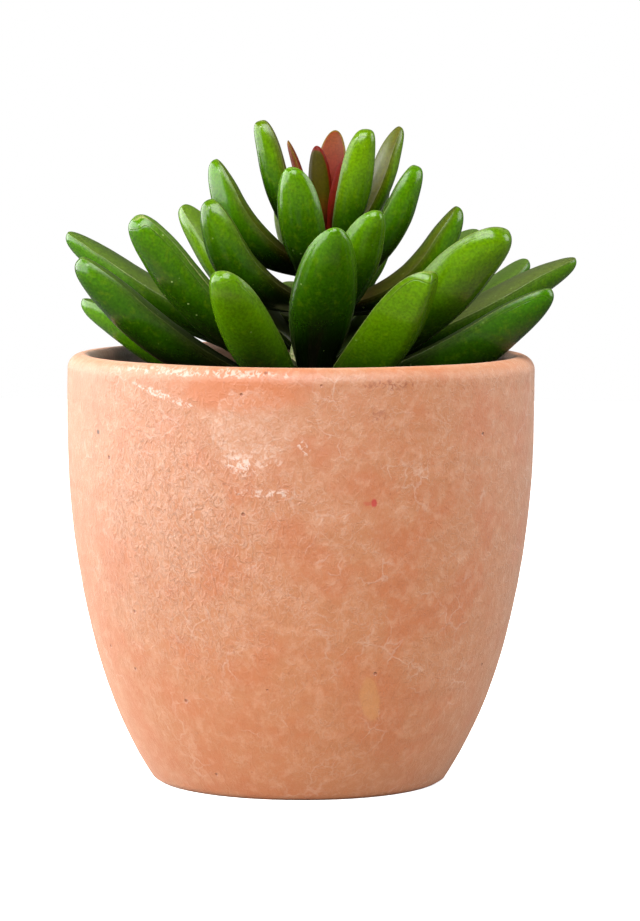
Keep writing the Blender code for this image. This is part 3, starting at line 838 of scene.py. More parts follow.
def crumb_tree(material):
    """Geometry nodes that scatter crumbs of bark over the upward faces of a mesh."""
    tree = bpy.data.node_groups.new("soil_crumbs", "GeometryNodeTree")
    for name, kind in (("Soil", "NodeSocketGeometry"), ("Largest crumb", "NodeSocketFloat")):
        tree.interface.new_socket(name, in_out="INPUT", socket_type=kind)
    tree.interface.new_socket("Crumbs", in_out="OUTPUT", socket_type="NodeSocketGeometry")
    given = tree.nodes.new("NodeGroupInput").outputs
    up = add(tree, SPLIT, {0: add(tree, "GeometryNodeInputNormal")}, out=2)
    top = add(tree, MATH, {0: up, 1: UPWARD}, operation="GREATER_THAN")
    density = CRUMBS_PER_SQUARE_MM / MM**2
    spread = {"Mesh": given["Soil"], "Selection": top, "Density": density, "Seed": CRUMB_SEED}
    points = add(tree, "GeometryNodeDistributePointsOnFaces", spread)
    least = SMALLEST_CRUMB_SHARE
    turns = {0: (0, 0, 0), 1: (math.tau, math.tau, math.tau), "Seed": CRUMB_SEED}
    sizes = {0: (least, least, least), 1: (1, 1, CRUMB_FLATTENING), "Seed": CRUMB_SEED + 1}
    turn = add(tree, RANDOM, turns, data_type="FLOAT_VECTOR")
    shape = add(tree, RANDOM, sizes, data_type="FLOAT_VECTOR")
    chance = add(tree, RANDOM, {2: 0.0, 3: 1.0, "Seed": CRUMB_SEED + 2}, out=1, data_type="FLOAT")
    rarely_big = add(tree, MATH, {0: chance, 1: CRUMB_RARITY}, operation="POWER")
    grown = add(tree, RANGE, {0: rarely_big, 3: least, 4: 1.0})
    scale = add(tree, VECTOR, {0: shape, "Scale": grown}, operation="SCALE")
    radius = times(tree, given["Largest crumb"], 0.5)
    crumb = add(tree, "GeometryNodeMeshIcoSphere", {"Radius": radius, "Subdivisions": 1})
    strewn = {"Points": points, "Instance": crumb, "Rotation": turn, "Scale": scale}
    bits = add(tree, "GeometryNodeInstanceOnPoints", strewn)
    real = add(tree, "GeometryNodeRealizeInstances", {"Geometry": bits})
    done = add(tree, "GeometryNodeSetMaterial", {"Geometry": real, "Material": material})
    tree.links.new(done, tree.nodes.new("NodeGroupOutput").inputs[0])
    return tree


# Blots of the soil's patterns and heights of its relief, in mm
PEAT_CLUMP = 1.8
PEAT_GRAIN = 0.4
BARK_BIT = 1.5
CLUMP_HEIGHT = 0.5
PEAT_GRAIN_HEIGHT = 0.12


def potting_soil(soil):
    """Peat and bark potting mix: dark, crumbly and matte, with paler flecks of bark."""
    material, tree, shader = new_material("potting_soil_crumbly")
    spot_mm = places_mm(tree)
    clumps = add(tree, NOISE, {"Vector": spot_mm, "Scale": 1 / PEAT_CLUMP, "Detail": 5, "Roughness": 0.7})
    grain = add(tree, NOISE, {"Vector": spot_mm, "Scale": 1 / PEAT_GRAIN, "Detail": 3})
    bits = add(tree, CELLS, {"Vector": spot_mm, "Scale": 1 / BARK_BIT}, out="Color")
    fleck = add(tree, SPLIT, {0: bits})
    barky = add(tree, RANGE, {0: fleck, 1: 0.7, 2: 0.95}, **SOFT)
    light = add(tree, RANGE, {0: clumps, 1: 0.5, 2: 0.75}, **SOFT)
    finish_surface(
        tree,
        shader,
        painted(tree, soil.peat, [(barky, 0.6, soil.bark), (light, 0.3, soil.bark)]),
        [(clumps, CLUMP_HEIGHT), (grain, PEAT_GRAIN_HEIGHT)],
        Roughness=0.95,
        Specular_IOR_Level=0.2,
    )
    return material


class SUCCULENT_OT_soil(bpy.types.Operator):
    """Fill the pot with soil and scatter crumbs over it"""

    bl_idname = "succulent.soil"
    bl_label = "Potting soil"

    def execute(self, context):
        soil = context.scene.succulent_soil
        material = potting_soil(soil)
        mesh = turned_mesh("soil_bed", soil_profile(), SOIL_STEPS, soil_point(soil.roughness))
        mesh.materials.append(material)
        bed = new_object("soil_bed", mesh)
        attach(bed, "root")
        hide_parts("soil")
        crumbs = new_object("soil_crumbs", mesh.copy())
        scatter = crumbs.modifiers.new("crumbs", "NODES")
        scatter.node_group = crumb_tree(material)
        set_inputs(scatter, {"Largest crumb": soil.crumb})
        settled(crumbs, material)
        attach(crumbs, "root")
        return {"FINISHED"}


# Stem


def stem_axis(height):
    """Centre of the leaning stem at a height."""
    return Vector((STEM_FOOT_X + (height - SOIL_TOP) * STEM_LEAN, 0, height))


def stem_radius(height):
    """Radius of the stem at a height."""
    share = max(0.0, (height - STEM_TAPER_START) / (STEM_TIP - STEM_TAPER_START))
    return STEM_RADIUS + (STEM_TIP_RADIUS - STEM_RADIUS) * share


STEM_KNOB_LENGTH = 4 * MM
STEM_KNOB_HEIGHT = 0.35 * MM

# The stem's scars, which are drawn out round it, and its grain. Heights and the grain's blots are in mm.
SCAR_STRETCH = (0.25, 0.25, 1.0)
SCARS_PER_MM = 0.7
SCAR_HEIGHT = 0.12
STEM_GRAIN = 0.5
STEM_GRAIN_HEIGHT = 0.05


def stem_mesh():
    """The knobbly stem from under the soil's top to the heart."""
    low = SOIL_TOP - STEM_BURIED
    heights = even(low, STEM_TIP, STEM_LEVELS)
    profile = [(0, low)] + [(stem_radius(h), h) for h in heights] + [(0, STEM_TIP)]

    def place(radius, height, turn):
        spot = stem_axis(height) + radius * heading(turn)
        if radius == 0:
            return spot
        return spot + STEM_KNOB_HEIGHT * noise.noise(spot / STEM_KNOB_LENGTH) * heading(turn)

    return turned_mesh("fleshy_stem", profile, STEM_STEPS, place)


def stem_skin(stem):
    """Skin of a succulent stem: olive and waxy, crossed by dry beige scars where leaves fell."""
    material, tree, shader = new_material("stem_skin_waxy")
    spot_mm = places_mm(tree)
    flattened = add(tree, VECTOR, {0: spot_mm, 1: SCAR_STRETCH}, operation="MULTIPLY")
    scars = add(tree, NOISE, {"Vector": flattened, "Scale": SCARS_PER_MM, "Detail": 3})
    grain = add(tree, NOISE, {"Vector": spot_mm, "Scale": 1 / STEM_GRAIN, "Detail": 4})
    dry = add(tree, RANGE, {0: scars, 1: 0.5, 2: 0.62}, **SOFT)
    specks = add(tree, RANGE, {0: grain, 1: 0.55, 2: 0.7}, **SOFT)
    finish_surface(
        tree,
        shader,
        painted(tree, stem.skin, [(dry, 0.7, stem.cork), (specks, 0.3, linear("#5A4A2C"))]),
        [(dry, SCAR_HEIGHT), (grain, STEM_GRAIN_HEIGHT)],
        Roughness=add(tree, RANGE, {0: dry, 3: 0.5, 4: 0.8}),
    )
    return material


class SUCCULENT_OT_stem(bpy.types.Operator):
    """Raise the stem out of the soil"""

    bl_idname = "succulent.stem"
    bl_label = "Stem"

    def execute(self, context):
        mesh = stem_mesh()
        mesh.materials.append(stem_skin(context.scene.succulent_stem))
        piece = new_object("fleshy_stem", mesh)
        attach(piece, "root")
        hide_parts("stem")
        return {"FINISHED"}


# Leaves

LEAF_INPUTS = (
    ("Root", "NodeSocketVector"),
    ("Bend", "NodeSocketVector"),
    ("Tip", "NodeSocketVector"),
    ("Width", "NodeSocketFloat"),
    ("Thickness", "NodeSocketFloat"),
    ("Roll", "NodeSocketFloat"),
    ("Keel", "NodeSocketFloat"),
    ("Widest", "NodeSocketFloat"),
    ("Tip power", "NodeSocketFloat"),
    ("Crown", "NodeSocketFloat"),
    ("Nose", "NodeSocketFloat"),
    ("Skew", "NodeSocketFloat"),
    ("Warp", "NodeSocketFloat"),
    ("Habit", "NodeSocketVector"),
    ("Wear", "NodeSocketVector"),
    ("Skin", "NodeSocketMaterial"),
)
WARP_LENGTH = 7 * MM
TIP_CORNER = 1 * MM  # roundness of the lines that follow the margin round the tip
POLE_CLOSING = 1.00002  # just over 1, so that the first and the last ring are one point each


def fullness(tree, place, peak, root_share, tip_power):
    """Share of the full size along the leaf. It swells to its peak and rounds off at the tip."""
    to_peak = add(tree, MATH, {0: place, 1: peak}, operation="MINIMUM")
    risen = add(tree, MATH, {0: to_peak, 1: peak}, operation="DIVIDE")
    angle = add(tree, MATH, {0: risen, 1: math.pi / 2}, operation="MULTIPLY")
    sine = add(tree, MATH, {0: angle}, operation="SINE")
    grown = add(tree, MATH, {0: sine, 1: SWELL_POWER}, operation="POWER")
    swelling = add(tree, MATH, {0: grown, 1: 1 - root_share, 2: root_share}, operation="MULTIPLY_ADD")
    past = add(tree, RANGE, {0: place, 1: peak, 2: 1.0})
    closing = {0: times(tree, past, past), 1: -POLE_CLOSING, 2: 1.0}
    left = add(tree, MATH, closing, operation="MULTIPLY_ADD", use_clamp=True)
    rounding = add(tree, MATH, {0: left, 1: tip_power}, operation="POWER")
    return times(tree, swelling, rounding)


def bent_path(tree, given, place):
    """Centre line of the leaf at a place and the direction it runs in there."""
    rest = add(tree, MATH, {0: 1.0, 1: place}, operation="SUBTRACT")
    terms = (
        (given["Root"], times(tree, rest, rest)),
        (given["Bend"], times(tree, rest, place, 2.0)),
        (given["Tip"], times(tree, place, place)),
    )
    spot = (0, 0, 0)
    for point, share in terms:
        part = add(tree, VECTOR, {0: point, "Scale": share}, operation="SCALE")
        spot = add(tree, VECTOR, {0: spot, 1: part}, operation="ADD")
    first = add(tree, VECTOR, {0: given["Bend"], 1: given["Root"]}, operation="SUBTRACT")
    last = add(tree, VECTOR, {0: given["Tip"], 1: given["Bend"]}, operation="SUBTRACT")
    slope = add(tree, MIX, {0: place, 4: first, 5: last}, 1, data_type="VECTOR")
    return spot, add(tree, VECTOR, {0: slope}, operation="NORMALIZE")


def leaf_directions(tree, given, along):
    """Directions across the leaf and out of its upper face, turned by the roll."""
    chord = add(tree, VECTOR, {0: given["Tip"], 1: given["Root"]}, operation="SUBTRACT")
    level = add(tree, VECTOR, {0: (0, 0, 1), 1: chord}, operation="CROSS_PRODUCT")
    lean = add(tree, VECTOR, {0: level, 1: along}, out="Value", operation="DOT_PRODUCT")
    leaning = add(tree, VECTOR, {0: along, "Scale": lean}, operation="SCALE")
    square = add(tree, VECTOR, {0: level, 1: leaning}, operation="SUBTRACT")
    side = add(tree, VECTOR, {0: square}, operation="NORMALIZE")
    up = add(tree, VECTOR, {0: along, 1: side}, operation="CROSS_PRODUCT")
    return [
        add(tree, TURN, {"Vector": way, "Axis": along, "Angle": given["Roll"]})
        for way in (side, up)
    ]


def section_heights(tree, cosine, sine, keel, crown):
    """How far the skin stands above or below the margins, as a share of the thickness."""
    reach = add(tree, MATH, {0: cosine}, operation="ABSOLUTE")
    fallen = add(tree, MATH, {0: reach, 1: FLAT_FACE_POWER}, operation="POWER")
    domed = add(tree, MATH, {0: 1.0, 1: fallen}, operation="SUBTRACT")
    upper = times(tree, domed, crown)
    depth = add(tree, MATH, {0: sine}, operation="ABSOLUTE")
    round_part = add(tree, MATH, {0: depth, 1: KEEL_POWER}, operation="POWER")
    squared = add(tree, MATH, {0: reach, 1: reach, 2: KEEL_SOFTNESS**2}, operation="MULTIPLY_ADD")
    softened = add(tree, MATH, {0: squared}, operation="SQRT")
    keeled = add(tree, RANGE, {0: softened, 1: math.hypot(1, KEEL_SOFTNESS), 2: KEEL_SOFTNESS})
    sharp = add(tree, MATH, {0: keel, 1: 0.0}, operation="MAXIMUM")
    lower = add(tree, MIX, {0: sharp, 2: round_part, 3: keeled})
    filled = add(tree, MATH, {0: reach, 1: BOX_POWER}, operation="POWER")
    open_part = add(tree, MATH, {0: 1.0, 1: filled}, operation="SUBTRACT")
    box = add(tree, MATH, {0: open_part}, operation="SQRT")
    boxy = add(tree, RANGE, {0: keel, 1: 0.0, 2: -1.0})
    lower = add(tree, MIX, {0: boxy, 2: lower, 3: box})
    below = add(tree, MATH, {0: lower, 1: UPPER_SHARE - 1}, operation="MULTIPLY")
    above = add(tree, MATH, {0: sine, 1: 0.0}, operation="GREATER_THAN")
    return add(tree, MIX, {0: above, 2: below, 3: upper})


def run_along(tree, flat):
    """Place along the leaf, close together near the tip, how deep it is buried, and the root's cap."""
    run = add(tree, RANGE, {0: flat, 1: -GRID_EDGE, 2: GRID_EDGE, 3: -ROOT_RUN, 4: 1.0})
    ahead = add(tree, MATH, {0: run, 1: 0.0}, operation="MAXIMUM")
    quarter = add(tree, MATH, {0: ahead, 1: math.pi / 2}, operation="MULTIPLY")
    place = add(tree, MATH, {0: quarter}, operation="SINE")
    buried = add(tree, RANGE, {0: run, 1: 0.0, 2: -ROOT_RUN})
    closing = {0: times(tree, buried, buried), 1: -POLE_CLOSING, 2: 1.0}
    open_share = add(tree, MATH, closing, operation="MULTIPLY_ADD", use_clamp=True)
    return place, buried, add(tree, MATH, {0: open_share}, operation="SQRT")


def turn_round(tree, flat):
    """Cosine and sine of the angle round the section, with points close together near the margins."""
    share = add(tree, MATH, {0: flat, 1: GRID_EDGE}, operation="ADD")
    even_angle = add(tree, MATH, {0: share, 1: math.tau}, operation="MULTIPLY")
    twice = add(tree, MATH, {0: even_angle, 1: 2.0}, operation="MULTIPLY")
    pull = add(tree, MATH, {0: twice}, operation="SINE")
    crowded = {0: pull, 1: -MARGIN_CROWDING / 2, 2: even_angle}
    angle = add(tree, MATH, crowded, operation="MULTIPLY_ADD")
    return add(tree, MATH, {0: angle}, operation="COSINE"), add(tree, MATH, {0: angle}, operation="SINE")


def edge_distance(tree, given, place, half_wide, across, rise):
    """How far a point of the skin is from the leaf's margin, the tip's edge included."""
    inside = add(tree, MATH, {0: across}, operation="ABSOLUTE")
    from_side = add(tree, MATH, {0: half_wide, 1: inside}, operation="SUBTRACT")
    edge = add(tree, JOIN, {0: from_side, 1: rise})
    from_margin = add(tree, VECTOR, {0: edge}, out="Value", operation="LENGTH")
    chord = add(tree, VECTOR, {0: given["Tip"], 1: given["Root"]}, out="Value", operation="DISTANCE")
    short_of_tip = add(tree, MATH, {0: 1.0, 1: place}, operation="SUBTRACT")
    close = {0: from_margin, 1: times(tree, short_of_tip, chord), 2: TIP_CORNER}
    return add(tree, MATH, close, operation="SMOOTH_MIN")


def noted(tree, grid, given, form, from_edge):
    """The grid with what the skin's material needs to know at each point, kept before it is wrapped."""
    facts = (
        ("form", "FLOAT_VECTOR", form),
        ("edge_mm", "FLOAT", times(tree, from_edge, 1 / MM)),
        ("habit", "FLOAT_VECTOR", given["Habit"]),
        ("wear", "FLOAT_VECTOR", given["Wear"]),
    )
    known = grid
    for name, kind, value in facts:
        inputs = {"Geometry": known, "Name": name, "Value": value}
        known = add(tree, "GeometryNodeStoreNamedAttribute", inputs, data_type=kind)
    uv = {"Geometry": known, "Name": "UVMap", "Value": grid.node.outputs["UV Map"]}
    return add(tree, "GeometryNodeStoreNamedAttribute", uv, data_type="FLOAT2", domain="CORNER")


def wrapped_place(tree, given, place, buried, swollen, across, rise):
    """Where the grid's points go round the centre line, with the nose dipped and the tip skewed."""
    spot, along = bent_path(tree, given, place)
    side, up = leaf_directions(tree, given, along)
    nose = add(tree, RANGE, {0: place, 1: NOSE_START, 2: 1.0})
    dip = times(tree, nose, nose, given["Thickness"], given["Nose"], -1.0)
    lift = add(tree, MATH, {0: rise, 1: dip}, operation="ADD")
    back = times(tree, buried, -ROOT_RUN_DEPTH)
    narrowed = add(tree, RANGE, {0: swollen, 1: 1.0, 2: 0.0})
    past_middle = add(tree, RANGE, {0: place, 1: SKEW_START, 2: SKEW_FULL}, **SOFT)
    drift = times(tree, narrowed, past_middle, given["Skew"], given["Width"], 0.5)
    shifted = add(tree, MATH, {0: across, 1: drift}, operation="ADD")
    for way, length in ((side, shifted), (up, lift), (along, back)):
        step = add(tree, VECTOR, {0: way, "Scale": length}, operation="SCALE")
        spot = add(tree, VECTOR, {0: spot, 1: step}, operation="ADD")
    return spot


def leaf_tree():
    """Geometry nodes for a fleshy leaf: a grid wrapped round a bent centre line, closed at both ends."""
    tree = bpy.data.node_groups.new("fleshy_leaf", "GeometryNodeTree")
    for name, kind in LEAF_INPUTS:
        tree.interface.new_socket(name, in_out="INPUT", socket_type=kind)
    tree.interface.new_socket("Leaf", in_out="OUTPUT", socket_type="NodeSocketGeometry")
    given = tree.nodes.new("NodeGroupInput").outputs
    side = 2 * GRID_EDGE
    points = LEAF_SECTION_POINTS + 1
    counts = {"Size X": side, "Size Y": side, "Vertices X": LEAF_RINGS, "Vertices Y": points}
    grid = add(tree, "GeometryNodeMeshGrid", counts)
    flat = add(tree, SPLIT, {0: add(tree, "GeometryNodeInputPosition")}).node.outputs
    place, buried, cap = run_along(tree, flat[0])
    cosine, sine = turn_round(tree, flat[1])

    # Sizes of the section there
    swollen = fullness(tree, place, given["Widest"], ROOT_WIDTH_SHARE, given["Tip power"])
    plump = fullness(tree, place, given["Widest"], ROOT_THICKNESS_SHARE, given["Tip power"])
    half_wide = times(tree, swollen, cap, given["Width"], 0.5)
    thick = times(tree, plump, cap, given["Thickness"])
    across = times(tree, cosine, half_wide)
    rise = times(tree, section_heights(tree, cosine, sine, given["Keel"], given["Crown"]), thick)

    form = add(tree, JOIN, {0: place, 1: cosine, 2: sine})
    from_edge = edge_distance(tree, given, place, half_wide, across, rise)
    known = noted(tree, grid, given, form, from_edge)
    spot = wrapped_place(tree, given, place, buried, swollen, across, rise)
    leaf = add(tree, "GeometryNodeSetPosition", {"Geometry": known, "Position": spot})

    # Closed poles and seam, a slightly uneven skin, and its material
    leaf = add(tree, "GeometryNodeMergeByDistance", {"Geometry": leaf, "Distance": WELD})
    leaf = add(tree, "GeometryNodeFlipFaces", {"Mesh": leaf})
    stray = add(tree, NOISE, {"Scale": 1 / WARP_LENGTH, "Detail": 2}, out="Color")
    centred = add(tree, VECTOR, {0: stray, 1: (0.5, 0.5, 0.5)}, operation="SUBTRACT")
    offset = add(tree, VECTOR, {0: centred, "Scale": given["Warp"]}, operation="SCALE")
    leaf = add(tree, "GeometryNodeSetPosition", {"Geometry": leaf, "Offset": offset})
    leaf = add(tree, "GeometryNodeSetShadeSmooth", {"Geometry": leaf})
    leaf = add(tree, "GeometryNodeRealizeInstances", {"Geometry": leaf})
    leaf = add(tree, "GeometryNodeSetMaterial", {"Geometry": leaf, "Material": given["Skin"]})
    tree.links.new(leaf, tree.nodes.new("NodeGroupOutput").inputs[0])
    return tree


def leaf_facts(tree):
    """The geometry nodes' notes: form, habit, and scars, painted shade and ridge, three parts each, and
    edge_mm.
    """
    form, habit, wear = (
        add(tree, SPLIT, {0: add(tree, ATTRIBUTE, out="Vector", attribute_name=name)}).node.outputs
        for name in ("form", "habit", "wear")
    )
    return form, habit, wear, add(tree, ATTRIBUTE, out="Fac", attribute_name="edge_mm")


# Blots of the leaf skin's patterns in mm
LEAF_CLOUD = 6
LEAF_MOTTLE = 1.4
LEAF_GRAIN = 0.5
LEAF_DIMPLES = 0.34
LEAF_SPECKS = (1.5, 0.28, 0.1)  # spacing, size, share of the cells that has one

# Lines along the leaf's margin as distance from it, width, and the share of the width that is full (mm)
PALE_LINE = (0.15, 0.15, 0.4)
DARK_LINE = (0.4, 0.15, 0.4)
RIDGE_PALE_LINE = (1.15, 0.12, 0.4)
RIDGE_DARK_LINE = (1.35, 0.15, 0.4)

# How the green runs along the leaf, as shares of its length, with painted shade at the foot
FOOT_SHADE = 0.36  # how far up a shade of 1 moves the greens
# The painted shade also reaches higher down the middle of the underside than at its sides
SIDE_LIFT = 0.16  # how much further down they reach at the sides
CLOUD_LIFT = 0.2  # how far the clouds move them
GREENS = (0.1, 0.5)  # where the middle green starts and is full
BRIGHTS = (0.4, 0.95)  # where the tip green starts and is full

# Heights of the leaf skin's relief in mm
DIMPLE_HEIGHT = 0.005
MOTTLE_HEIGHT = 0.014
RIDGE_DEPTH = 0.04
MARGIN_HEIGHT = 0.03
SPECK_HEIGHT = 0.03


def leaf_greens(tree, place, cosine, tone, shade, cloud):
    """Where the middle, tip, yellow and cool greens lie. They reach lower as the painted shade is less."""
    out_of_foot = add(tree, MATH, {0: shade, 1: -FOOT_SHADE, 2: place}, operation="MULTIPLY_ADD")
    at_sides = times(tree, cosine, cosine)
    lifted = add(tree, MATH, {0: at_sides, 1: SIDE_LIFT, 2: out_of_foot}, operation="MULTIPLY_ADD")
    lifted = add(tree, MATH, {0: cloud, 1: CLOUD_LIFT, 2: lifted}, operation="MULTIPLY_ADD")
    greener = add(tree, RANGE, {0: lifted, 1: GREENS[0], 2: GREENS[1]}, **SOFT)
    brighter = add(tree, RANGE, {0: lifted, 1: BRIGHTS[0], 2: BRIGHTS[1]}, **SOFT)
    yellower = times(tree, add(tree, RANGE, {0: tone, 3: 0.0, 4: 0.75}), brighter)
    cooler = times(tree, add(tree, RANGE, {0: tone, 1: 0.0, 2: -1.0, 3: 0.0, 4: 0.9}), brighter)
    return greener, brighter, yellower, cooler


def leaf_skin(colours):
    """Skin of a fleshy leaf: waxy satin over wet green flesh, finely dimpled, with a thin dry margin.

    Green deepens, with painted shade, near the stem; sunny faces turn red-brown; the upper face is dull and
    greyer.
    """
    material, tree, shader = new_material("leaf_skin_waxy")
    (place, cosine, face), (tone, blush, bloom), (scars, shade, ridge), edge = leaf_facts(tree)
    spot_mm = places_mm(tree)

    cloud = add(tree, NOISE, {"Vector": spot_mm, "Scale": 1 / LEAF_CLOUD, "Detail": 3})
    mottle = add(tree, NOISE, {"Vector": spot_mm, "Scale": 1 / LEAF_MOTTLE, "Detail": 5, "Roughness": 0.6})
    grain = add(tree, NOISE, {"Vector": spot_mm, "Scale": 1 / LEAF_GRAIN, "Detail": 2})
    dimples = add(tree, NOISE, {"Vector": spot_mm, "Scale": 1 / LEAF_DIMPLES, "Detail": 1})
    frayed = add(tree, MATH, {0: mottle, 1: 0.3, 2: edge}, operation="MULTIPLY_ADD")
    wandering = add(tree, MATH, {0: cloud, 1: 1.4, 2: edge}, operation="MULTIPLY_ADD")

    # Painted shade: the greens start higher up the leaf by its shade value, and higher down the underside's
    # middle
    greener, brighter, yellower, cooler = leaf_greens(tree, place, cosine, tone, shade, cloud)
    patchy = times(tree, add(tree, RANGE, {0: mottle, 1: 0.5, 2: 0.7}, **SOFT), greener)
    upper = add(tree, RANGE, {0: face, 1: -0.5, 2: 0.3}, **SOFT)
    # Bloom and blush thin out towards the root, so the painted shade of the foot shows on the upper face
    # too
    lit_upper = times(tree, upper, add(tree, RANGE, {0: place, 1: 0.0, 2: 0.5, 3: 0.3, 4: 1.0}))
    red_side = add(tree, RANGE, {0: wandering, 1: 2.4, 2: 0.9}, **SOFT)
    worn = add(tree, RANGE, {0: cloud, 1: 0.4, 2: 0.6, 3: 0.3, 4: 1.0}, **SOFT)
    near_tip = add(tree, RANGE, {0: place, 1: 0.75, 2: 0.92, 3: 0.35, 4: 1.0}, **SOFT)
    creased = times(tree, ridge, near_tip, worn)
    pale_line = times(tree, line_at(tree, frayed, *PALE_LINE), worn)
    dark_line = times(tree, line_at(tree, frayed, *DARK_LINE), worn)
    ridge_pale = times(tree, line_at(tree, frayed, *RIDGE_PALE_LINE), creased)
    ridge_dark = times(tree, line_at(tree, frayed, *RIDGE_DARK_LINE), creased)
    margin_cover = add(tree, RANGE, {0: ridge, 3: 0.1, 4: 0.6})
    specks = times(tree, dots(tree, spot_mm, *LEAF_SPECKS), scars)

    coats = [
        (greener, 1.0, colours.middle),
        (brighter, 1.0, colours.tip),
        (yellower, 1.0, colours.yellow),
        (cooler, 1.0, colours.cool),
        (patchy, 0.16, colours.yellow),
        (times(tree, lit_upper, bloom), 0.85, colours.bloom),
        (times(tree, lit_upper, blush), 0.8, colours.blush),
        (times(tree, red_side, blush), 0.5, colours.blush),
        (dark_line, 0.15, linear("#0C1E00")),
        (ridge_dark, 0.5, linear("#0A1C00")),
        (ridge_pale, 0.3, colours.margin),
        (pale_line, margin_cover, colours.margin),
        (specks, 0.6, linear("#A9C074")),
    ]
    relief = [
        (dimples, DIMPLE_HEIGHT),
        (mottle, MOTTLE_HEIGHT),
        (ridge_dark, -RIDGE_DEPTH),
        (pale_line, MARGIN_HEIGHT),
        (specks, SPECK_HEIGHT),
    ]
    gloss = add(tree, RANGE, {0: mottle, 1: 0.3, 2: 0.7, 3: 0.16, 4: 0.22})
    finish_surface(
        tree,
        shader,
        shaded(tree, painted(tree, colours.base, coats), grain, 0.72, 1.2),
        relief,
        Roughness=add(tree, MIX, {0: upper, 2: gloss, 3: 0.4}),
        IOR=1.4,
        Specular_IOR_Level=0.5,
        Subsurface_Weight=0.08,
        Subsurface_Radius=(0.6, 1.0, 0.1),
        Subsurface_Scale=1.2 * MM,
    )
    return material


# Blots of the young skin's patterns and heights of its relief, in mm
YOUNG_MOTTLE = 1.1
YOUNG_GRAIN = 0.45
YOUNG_MOTTLE_HEIGHT = 0.03
YOUNG_GRAIN_HEIGHT = 0.012


def young_skin(colours):
    """Skin of a young leaf: thin waxy satin, red from the sun, and olive where it begins to green."""
    material, tree, shader = new_material("young_leaf_skin_waxy")
    (place, _, _), (olive, rimmed, _), _, edge = leaf_facts(tree)
    spot_mm = places_mm(tree)
    mottle = add(tree, NOISE, {"Vector": spot_mm, "Scale": 1 / YOUNG_MOTTLE, "Detail": 4, "Roughness": 0.6})
    grain = add(tree, NOISE, {"Vector": spot_mm, "Scale": 1 / YOUNG_GRAIN, "Detail": 2})
    frayed = add(tree, MATH, {0: mottle, 1: 0.5, 2: edge}, operation="MULTIPLY_ADD")

    redder = add(tree, RANGE, {0: place, 1: 0.1, 2: 0.5}, **SOFT)
    pinker = add(tree, RANGE, {0: place, 1: 0.55, 2: 0.95}, **SOFT)
    rim = add(tree, RANGE, {0: frayed, 1: 1.2, 2: 0.75}, **SOFT)
    green_rim = add(tree, RANGE, {0: frayed, 1: 0.75, 2: 0.4}, **SOFT)
    coats = [
        (redder, 1.0, colours.red),
        (pinker, 1.0, colours.tip),
        (redder, olive, colours.olive),
        (green_rim, 0.5, linear("#5E6A14")),
        (rim, rimmed, colours.rim),
    ]
    finish_surface(
        tree,
        shader,
        shaded(tree, painted(tree, colours.root, coats), grain, 0.82, 1.15),
        [(mottle, YOUNG_MOTTLE_HEIGHT), (grain, YOUNG_GRAIN_HEIGHT)],
        Roughness=0.45,
        IOR=1.4,
        Specular_IOR_Level=0.15,
        Subsurface_Weight=0.1,
        Subsurface_Radius=(1.0, 0.4, 0.2),
        Subsurface_Scale=1.0 * MM,
    )
    return material


def leaf_path(leaf, carrier_radius):
    """Root, bend and tip of a leaf whose root lies on the round that carries it."""
    root_turn, root_height, tip_turn, tip_reach, tip_height, sag = leaf[:6]
    axis = stem_axis(root_height * MM)
    root = axis + carrier_radius * heading(root_turn)
    tip = axis + tip_reach * MM * heading(tip_turn)
    tip.z = tip_height * MM
    chord = tip - root
    chord_up = chord.cross(Vector((-chord.y, chord.x, 0))).normalized()
    bend = (root + tip) / 2 - 2 * sag * MM * chord_up
    return root, bend, tip


def grow_leaf(name, leaf, shape, look, carrier_radius, tree, skin, warp):
    """One leaf as a plain mesh. The values stand in the order of LEAF_INPUTS."""
    width, thickness, roll = leaf[6:]
    keel, *habit = look
    values = (
        *leaf_path(leaf, carrier_radius),
        width * MM,
        thickness * MM,
        math.radians(roll),
        keel,
        *shape,
        warp,
        habit[:3],
        habit[3:],
        skin,
    )
    grower = new_object(name, bpy.data.meshes.new(name))
    growth = grower.modifiers.new("leaf", "NODES")
    growth.node_group = tree
    set_inputs(growth, {name: value for (name, _), value in zip(LEAF_INPUTS, values)})
    return settled(grower, skin)


class SUCCULENT_OT_leaves(bpy.types.Operator):
    """Grow the full-grown leaves round the stem"""

    bl_idname = "succulent.leaves"
    bl_label = "Leaves"

    def execute(self, context):
        colours = context.scene.succulent_leaf
        tree = leaf_tree()
        skin = leaf_skin(colours)
        for name, leaf in LEAVES.items():
            shape = LEAF_SHAPES.get(name, PLAIN_SHAPE)
            look = LEAF_LOOKS.get(name, PLAIN_LOOK)
            carrier = stem_radius(leaf[1] * MM)
            piece = grow_leaf(f"fleshy_{name}", leaf, shape, look, carrier, tree, skin, colours.warp)
            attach(piece, "root")
            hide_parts(name)
        return {"FINISHED"}


class SUCCULENT_OT_heart(bpy.types.Operator):
    """Grow the young red leaves round the growing tip"""

    bl_idname = "succulent.heart"
    bl_label = "Heart"

    def execute(self, context):
        heart = context.scene.succulent_heart
        tree = leaf_tree()
        skin = young_skin(heart)
        parts = []
        for name, leaf in YOUNG_LEAVES.items():
            form = (leaf, YOUNG_SHAPE, YOUNG_LOOKS[name], HEART_ROOT_RADIUS)
            parts.append(grow_leaf(name, *form, tree, skin, heart.warp))
        piece = join_meshes("heart_leaves", parts, skin)
        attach(piece, "root")
        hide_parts("heart")
        return {"FINISHED"}


# Floor, light and camera

